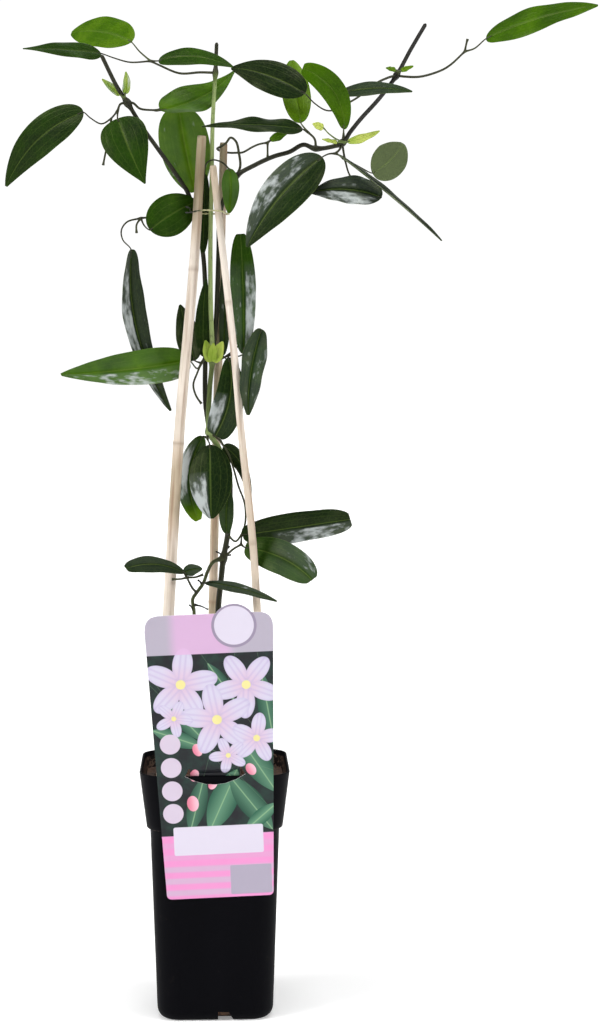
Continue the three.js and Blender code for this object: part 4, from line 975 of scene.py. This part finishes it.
def soilParts():
    # up the sides from the middle of the pot's floor, and then in to the middle of the top in even rings
    p = pot
    gap, wall = soil["gap"], p["wall"] + soil["gap"]
    ledge, foot = bodyHeight + wall, p["floor"] + p["rise"]
    corner = p["rimCorner"] - p["wall"]
    inner = bodyAt(p["floor"], wall)[0] - 2 * p["floorInset"]
    rows = [(inner * s, p["floorCorner"] * s, p["floor"] + gap) for s in (0.2, 0.6, 1)]
    rows += [
        (bodyAt(foot, wall)[0], bodyAt(foot, p["wall"])[1], foot + gap),
        (p["bodyWidth"] - 2 * wall, p["bodyCorner"] - p["wall"], ledge),
        (p["collarFootWidth"] - 2 * wall, corner, ledge),
    ]
    width = collarAt(soil["top"], wall)[0]
    rows.append((width - 0.6, corner, soil["top"] - 2))
    start = len(rows)
    rows += [((width - 0.8) * s, corner * s, soil["top"]) for s in np.linspace(1, 0.02, soil["rings"])]
    surface = squareRings(rows)
    top = surface[start:]
    height = soilHeight(top[..., 0], top[..., 1])
    height = (height - height.min()) / (height.max() - height.min())
    fade = np.clip((np.arange(len(top)) / 4), 0, 1)[:, None]
    top[..., 2] += (height * 2 - 0.8) * soil["mound"] * (0.3 + 0.7 * fade) * 0.6
    return [gridPart(surface)] + crumbParts(top)


def crumbParts(top):
    # small lumps: coarse globes, squashed and roughened by random draws, half sunk in the top
    parts = []
    flat = top[4:-2].reshape(-1, 3)
    rows, columns = soil["crumbGrid"]
    a = np.linspace(0, 2 * np.pi, columns, endpoint=False)[None, :]
    h = np.linspace(-0.8, 0.8, rows)[:, None]
    for spot in flat[rng.integers(0, len(flat), soil["crumbs"])]:
        size = rng.uniform(*soil["crumbSize"]) * rng.uniform(0.6, 1.1, 3)
        ring = np.sqrt(1 - h * h) * rng.uniform(0.75, 1.15, (rows, columns))
        globe = np.stack([ring * np.cos(a), ring * np.sin(a), h * np.ones_like(a)], -1)
        parts.append(gridPart(globe * size + spot + (0, 0, size[2] * 0.35)))
    return parts


buildPiece("soil_fine", soilParts(), [makeSoilFinish()], "soil", smooth=False)
print("soil made")


# card: the printed sheet keeps its solid, and its print is worked out in the card's own flat millimetres,
# with x across from the middle and y up from the foot. The blossoms, buds and leaves are plain invented ones.
card = dict(foot=(4, -46.2, 94), tilt=5.8, turn=2.25, thickness=0.7)
cardPrint = dict(
    bandTop=183, pictureFoot=48, lug=dict(centre=(18, 203), radius=16.2, inner=14.2),
    # left, right, low, high and corner of each box
    plate=(8, 38, 2, 24, 1.0), panel=(-32, 33, 33, 54.5, 1.5), tongue=(-19, 19, 82, 99, 1.0),
    roundels=dict(x=-31.5, radius=7.4, heights=(117, 99.5, 82, 65)),
    blossoms=[
        # centre, reach of the petals, turn in degrees
        ((-22, 161), 27, 10), ((25, 159), 25, 50), ((3, 134), 27, 28), ((-28, 136), 14, 64),
        ((31, 119), 19, 8), ((10, 107), 14, 40),
    ],
    buds=[
        # centre, size, turn in degrees
        ((-12, 112), 3.4, 20), ((-15, 93), 3.2, -15), ((26, 96), 3.4, 30), ((-17, 72), 4.2, 5),
        ((-2, 86), 3, -30),
    ],
    leaves=[
        # from, to, width, brightness
        ((-6, 50), (16, 96), 20, 0.9), ((40, 50), (10, 92), 18, 0.6), ((44, 78), (16, 124), 19, 0.75),
        ((-20, 50), (-8, 92), 14, 0.45), ((-44, 128), (-8, 114), 12, 0.8), ((44, 112), (36, 168), 14, 0.5),
        ((-6, 118), (-34, 150), 13, 0.6), ((20, 50), (44, 70), 11, 1.0), ((-2, 176), (16, 148), 10, 0.35),
    ],
    ground=(rgb(26, 26, 32), rgb(30, 52, 46)), band=(rgb(182, 174, 190), rgb(214, 176, 212)), bandShare=0.94,
    foot=(rgb(230, 146, 200), rgb(196, 178, 200)), petal=rgb(208, 202, 222), petalEdge=rgb(180, 166, 206),
    petalVein=rgb(188, 170, 208), blush=rgb(216, 184, 206), heart=rgb(232, 222, 150),
    midrib=rgb(150, 186, 140), bud=(rgb(216, 120, 144), rgb(248, 190, 206)), white=rgb(216, 209, 225),
    grey=rgb(170, 162, 180),
    disc=rgb(208, 194, 212), rim=rgb(150, 138, 160), back=(rgb(228, 226, 228), rgb(240, 238, 240)),
)


def toPlane(xy, centre, turn=0.0):
    # xy seen from a centre, turned so that its x runs along the given direction
    inputs = {"Vector": xy, "Location": (*centre, 0.0), "Rotation": (0.0, 0.0, math.radians(turn))}
    return addNode("Mapping", inputs, vector_type="TEXTURE")


def partsOf(vector):
    return tuple(addNode("SeparateXYZ", {0: vector}).node.outputs)


def inside(distance, edge=0.25):
    # 1 where the distance to a shape's outline is negative, and 0 outside, over a thin soft edge
    return timesPlus(distance, -1 / edge, 0.5, clamp=True)


def discMask(xy, centre, radius):
    return inside(minus(vectors("DISTANCE", xy, (*centre, 0.0), "Value"), radius))


def boxMask(xy, left, right, low, high, corner):
    # the distance to a rectangle with round corners: length(max(|p| - half + corner, 0)) - corner
    centred = vectors("SUBTRACT", xy, ((left + right) / 2, (low + high) / 2, 0.0))
    half = ((right - left) / 2 - corner, (high - low) / 2 - corner, 1000.0)
    over = vectors("MAXIMUM", vectors("SUBTRACT", vectors("ABSOLUTE", centred), half))
    return inside(minus(vectors("LENGTH", over, out="Value"), corner))


def lengthOf(a, b):
    return calc("SQRT", calc("ADD", times(a, a), times(b, b)))


def printBlossom(xy, colour, centre, reach, turn):
    # Five round petals: the plane is folded into five equal sectors, and in each the petal is an ellipse
    # whose long axis points out from the centre. A streak, a blush at the root and a yellow heart go on top.
    look = cardPrint
    x, y, _ = partsOf(toPlane(xy, centre, turn))
    away = lengthOf(x, y)
    sector = calc("PINGPONG", calc("ARCTAN2", y, x), math.pi / 5)
    along, across = (times(away, calc(wave, sector)) for wave in ("COSINE", "SINE"))
    u = calc("DIVIDE", minus(along, reach * 0.54), reach * 0.46)
    form = lengthOf(u, calc("DIVIDE", across, reach * 0.27))
    tone = blend(between(along, reach * 0.1, reach * 0.7, 0.75, 0.0), look["petal"], look["blush"])
    tone = blend(near(unsigned(minus(across, reach * 0.07)), reach * 0.05, 0.5), tone, look["petalVein"])
    tone = blend(between(form, 0.7, 1.0, 0.0, 0.35), tone, look["petalEdge"])
    colour = blend(inside(times(minus(form, 1.0), reach * 0.27)), colour, tone)
    return blend(discMask(xy, centre, reach * 0.13), colour, look["heart"])


def printLeaf(xy, colour, start, end, width, light):
    # a pointed leaf from start to end: half width = width / 2 * sin(pi u) ^ 0.8, with a pale midrib
    dx, dy = end[0] - start[0], end[1] - start[1]
    x, y, _ = partsOf(toPlane(xy, start, math.degrees(math.atan2(dy, dx))))
    u = calc("DIVIDE", x, math.hypot(dx, dy), clamp=True)
    half = times(calc("POWER", calc("SINE", times(u, math.pi)), 0.8), width / 2)
    away = unsigned(y)
    deep = rgb(18 + 16 * light, 48 + 40 * light, 38 + 30 * light)
    pale = rgb(52 + 46 * light, 90 + 56 * light, 74 + 42 * light)
    tone = blend(calc("DIVIDE", away, width / 2, clamp=True), pale, deep)
    tone = blend(between(away, 0.2, 0.6, 0.6, 0.0), tone, cardPrint["midrib"])
    return blend(inside(minus(away, half)), colour, tone)


def printBud(xy, colour, centre, size, turn):
    local = toPlane(xy, centre, turn)
    form = vectors("LENGTH", stretched(local, (1.0, 0.72, 1.0)), out="Value")
    tone = blend(between(partsOf(local)[0], -size, size), *cardPrint["bud"])
    return blend(inside(minus(form, size)), colour, tone)


def makeCardFinish():
    look = cardPrint
    material = newMaterial("card_print")
    scaled = vectors("MULTIPLY", objectPlace(), (1000.0, 1000.0, 1000.0))
    lean = (math.radians(90 + card["tilt"]), 0.0, 0.0)
    upright = {"Vector": scaled, "Location": card["foot"], "Rotation": lean}
    solid = toPlane(addNode("Mapping", upright, vector_type="TEXTURE"), (0.0, 0.0), card["turn"])
    x, y, depth = partsOf(solid)
    xy = stretched(solid, (1.0, 1.0, 0.0))
    colour = blend(between(noise(xy, 0.06, 3.0), 0.35, 0.65), *look["ground"])
    for leaf in look["leaves"]:
        colour = printLeaf(xy, colour, *leaf)
    for bud in look["buds"]:
        colour = printBud(xy, colour, *bud)
    for blossom in look["blossoms"]:
        colour = printBlossom(xy, colour, *blossom)
    # the band above the picture, the striped foot below it, and the bare plates and discs
    top = between(y, look["bandTop"] - 0.2, look["bandTop"] + 0.2, 0.0, look["bandShare"])
    middle = between(unsigned(calc("ADD", x, 6.0)), 16.0, 26.0, 1.0, 0.0)
    colour = blend(top, colour, blend(middle, *look["band"]))
    foot = between(y, look["pictureFoot"] - 0.2, look["pictureFoot"] + 0.2, 1.0, 0.0)
    stripes = times(between(calc("PINGPONG", y, 4.5), 1.4, 3.2), between(y, 22.0, 28.0, 1.0, 0.35))
    colour = blend(foot, colour, blend(times(stripes, 0.7), *look["foot"]))
    colour = blend(boxMask(xy, *look["plate"]), colour, look["grey"])
    colour = blend(boxMask(xy, *look["panel"]), colour, look["white"])
    spots, lug = look["roundels"], look["lug"]
    for height in spots["heights"]:
        colour = blend(discMask(xy, (spots["x"], height), spots["radius"]), colour, look["disc"])
    colour = blend(discMask(xy, lug["centre"], lug["radius"]), colour, look["rim"])
    colour = blend(discMask(xy, lug["centre"], lug["inner"]), colour, look["white"])
    # print lies on the front and on the tongue's face, and the rest is plain
    facing = between(partsOf(addNode("TexCoord", (), "Normal"))[1], -0.2, 0.0, 1.0, 0.0)
    front = between(depth, card["thickness"] - 0.12, card["thickness"] - 0.06)
    front = calc("MAXIMUM", front, times(boxMask(xy, *look["tongue"]), facing))
    speck = noise(xy, 0.9, 3.0)
    return dress(material, {
        "Base Color": blend(front, blend(speck, *look["back"]), colour),
        "Roughness": between(speck, 0.3, 0.7, 0.3, 0.38), "Normal": bump(noise(xy, 0.05, 2.0), 0.12, 0.004),
        "Specular IOR Level": 0.2, "Coat Weight": 0.12, "Coat Roughness": 0.12,
    })


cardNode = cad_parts["label_card"]
cardNode.data.materials.clear()
cardNode.data.materials.append(makeCardFinish())
print("card printed")


# stage: a pale floor, a pale dome that only the camera sees, and soft lights
stage = dict(floorRadius=18, floorRings=40, floorSides=96, floorGlow=0.25, domeRadius=20, domeGlow=1.05,
             worldGlow=0.14, paint=((0.86, 0.86, 0.86, 1), (0.89, 0.89, 0.89, 1)))
suns = [
    # name, from azimuth and elevation in degrees (azimuth 0 is the camera's side), strength, width in degrees
    ("key", -64, 34, 2.2, 26), ("fill", 66, 28, 1.6, 26), ("top", 10, 82, 1.4, 24),
    ("back", 170, 40, 0.6, 40),
]


def plainObject(name, points, faces, material):
    mesh = bpy.data.meshes.new(name)
    mesh.from_pydata(points.reshape(-1, 3).tolist(), [], faces)
    mesh.materials.append(material)
    return addObject(name, mesh)


def makeFloor():
    # a disc of rings that widen outward, closed by one flat face in the middle
    rows, count = stage["floorRings"], stage["floorSides"]
    around = np.linspace(0, 2 * np.pi, count, endpoint=False)
    radii = np.linspace(0.02, 1, rows)[:, None] ** 2 * stage["floorRadius"]
    rings = np.stack([radii * np.cos(around), radii * np.sin(around), np.zeros((rows, count))], -1)
    i, j = np.meshgrid(np.arange(rows - 1), np.arange(count), indexing="ij")
    k = (j + 1) % count
    quads = np.stack([i * count + j, (i + 1) * count + j, (i + 1) * count + k, i * count + k], -1)
    faces = quads.reshape(-1, 4).tolist() + [list(range(count))]
    material = newMaterial("floor_paint")
    floor = plainObject("floor", rings, faces, dress(material, {
        "Base Color": blend(noise(objectPlace(), 3.0, 3.0), *stage["paint"]), "Roughness": 0.9,
        "Specular IOR Level": 0.1, "Emission Color": (1, 1, 1, 1), "Emission Strength": stage["floorGlow"],
    }))


def makeDome():
    # a globe of pale light round the stage, seen by the camera and by nothing else
    a = np.linspace(0, 2 * np.pi, 64, endpoint=False)[None, :]
    h = np.linspace(-0.98, 0.98, 40)[:, None] * np.pi / 2
    globe = np.stack([np.cos(h) * np.cos(a), np.cos(h) * np.sin(a), np.sin(h) * np.ones_like(a)], -1)
    part = gridPart(globe * stage["domeRadius"])
    material = newMaterial("backdrop_glow")
    tree.nodes.remove(tree.nodes["Principled BSDF"])
    feed(tree.nodes["Material Output"].inputs[0], addNode("Emission", {"Strength": stage["domeGlow"]}))
    dome = plainObject("backdrop", part["points"], part["quads"].tolist() + part["tris"].tolist(), material)
    dome.visible_diffuse = dome.visible_glossy = dome.visible_transmission = dome.visible_shadow = False


def makeLights():
    for name, azimuth, elevation, strength, width in suns:
        data = bpy.data.lights.new(name, "SUN")
        data.energy = strength
        data.angle = math.radians(width)
        lamp = addObject(name, data)
        lamp.rotation_euler = (math.radians(90 - elevation), 0, math.radians(azimuth))
    world = bpy.data.worlds.new("studio")
    world.use_nodes = True
    sky = world.node_tree.nodes["Background"]
    sky.inputs["Color"].default_value = (1, 1, 1, 1)
    sky.inputs["Strength"].default_value = stage["worldGlow"]
    bpy.context.scene.world = world


makeFloor()
makeDome()
makeLights()
bpy.context.scene.view_settings.view_transform = "Standard"
print("stage set")
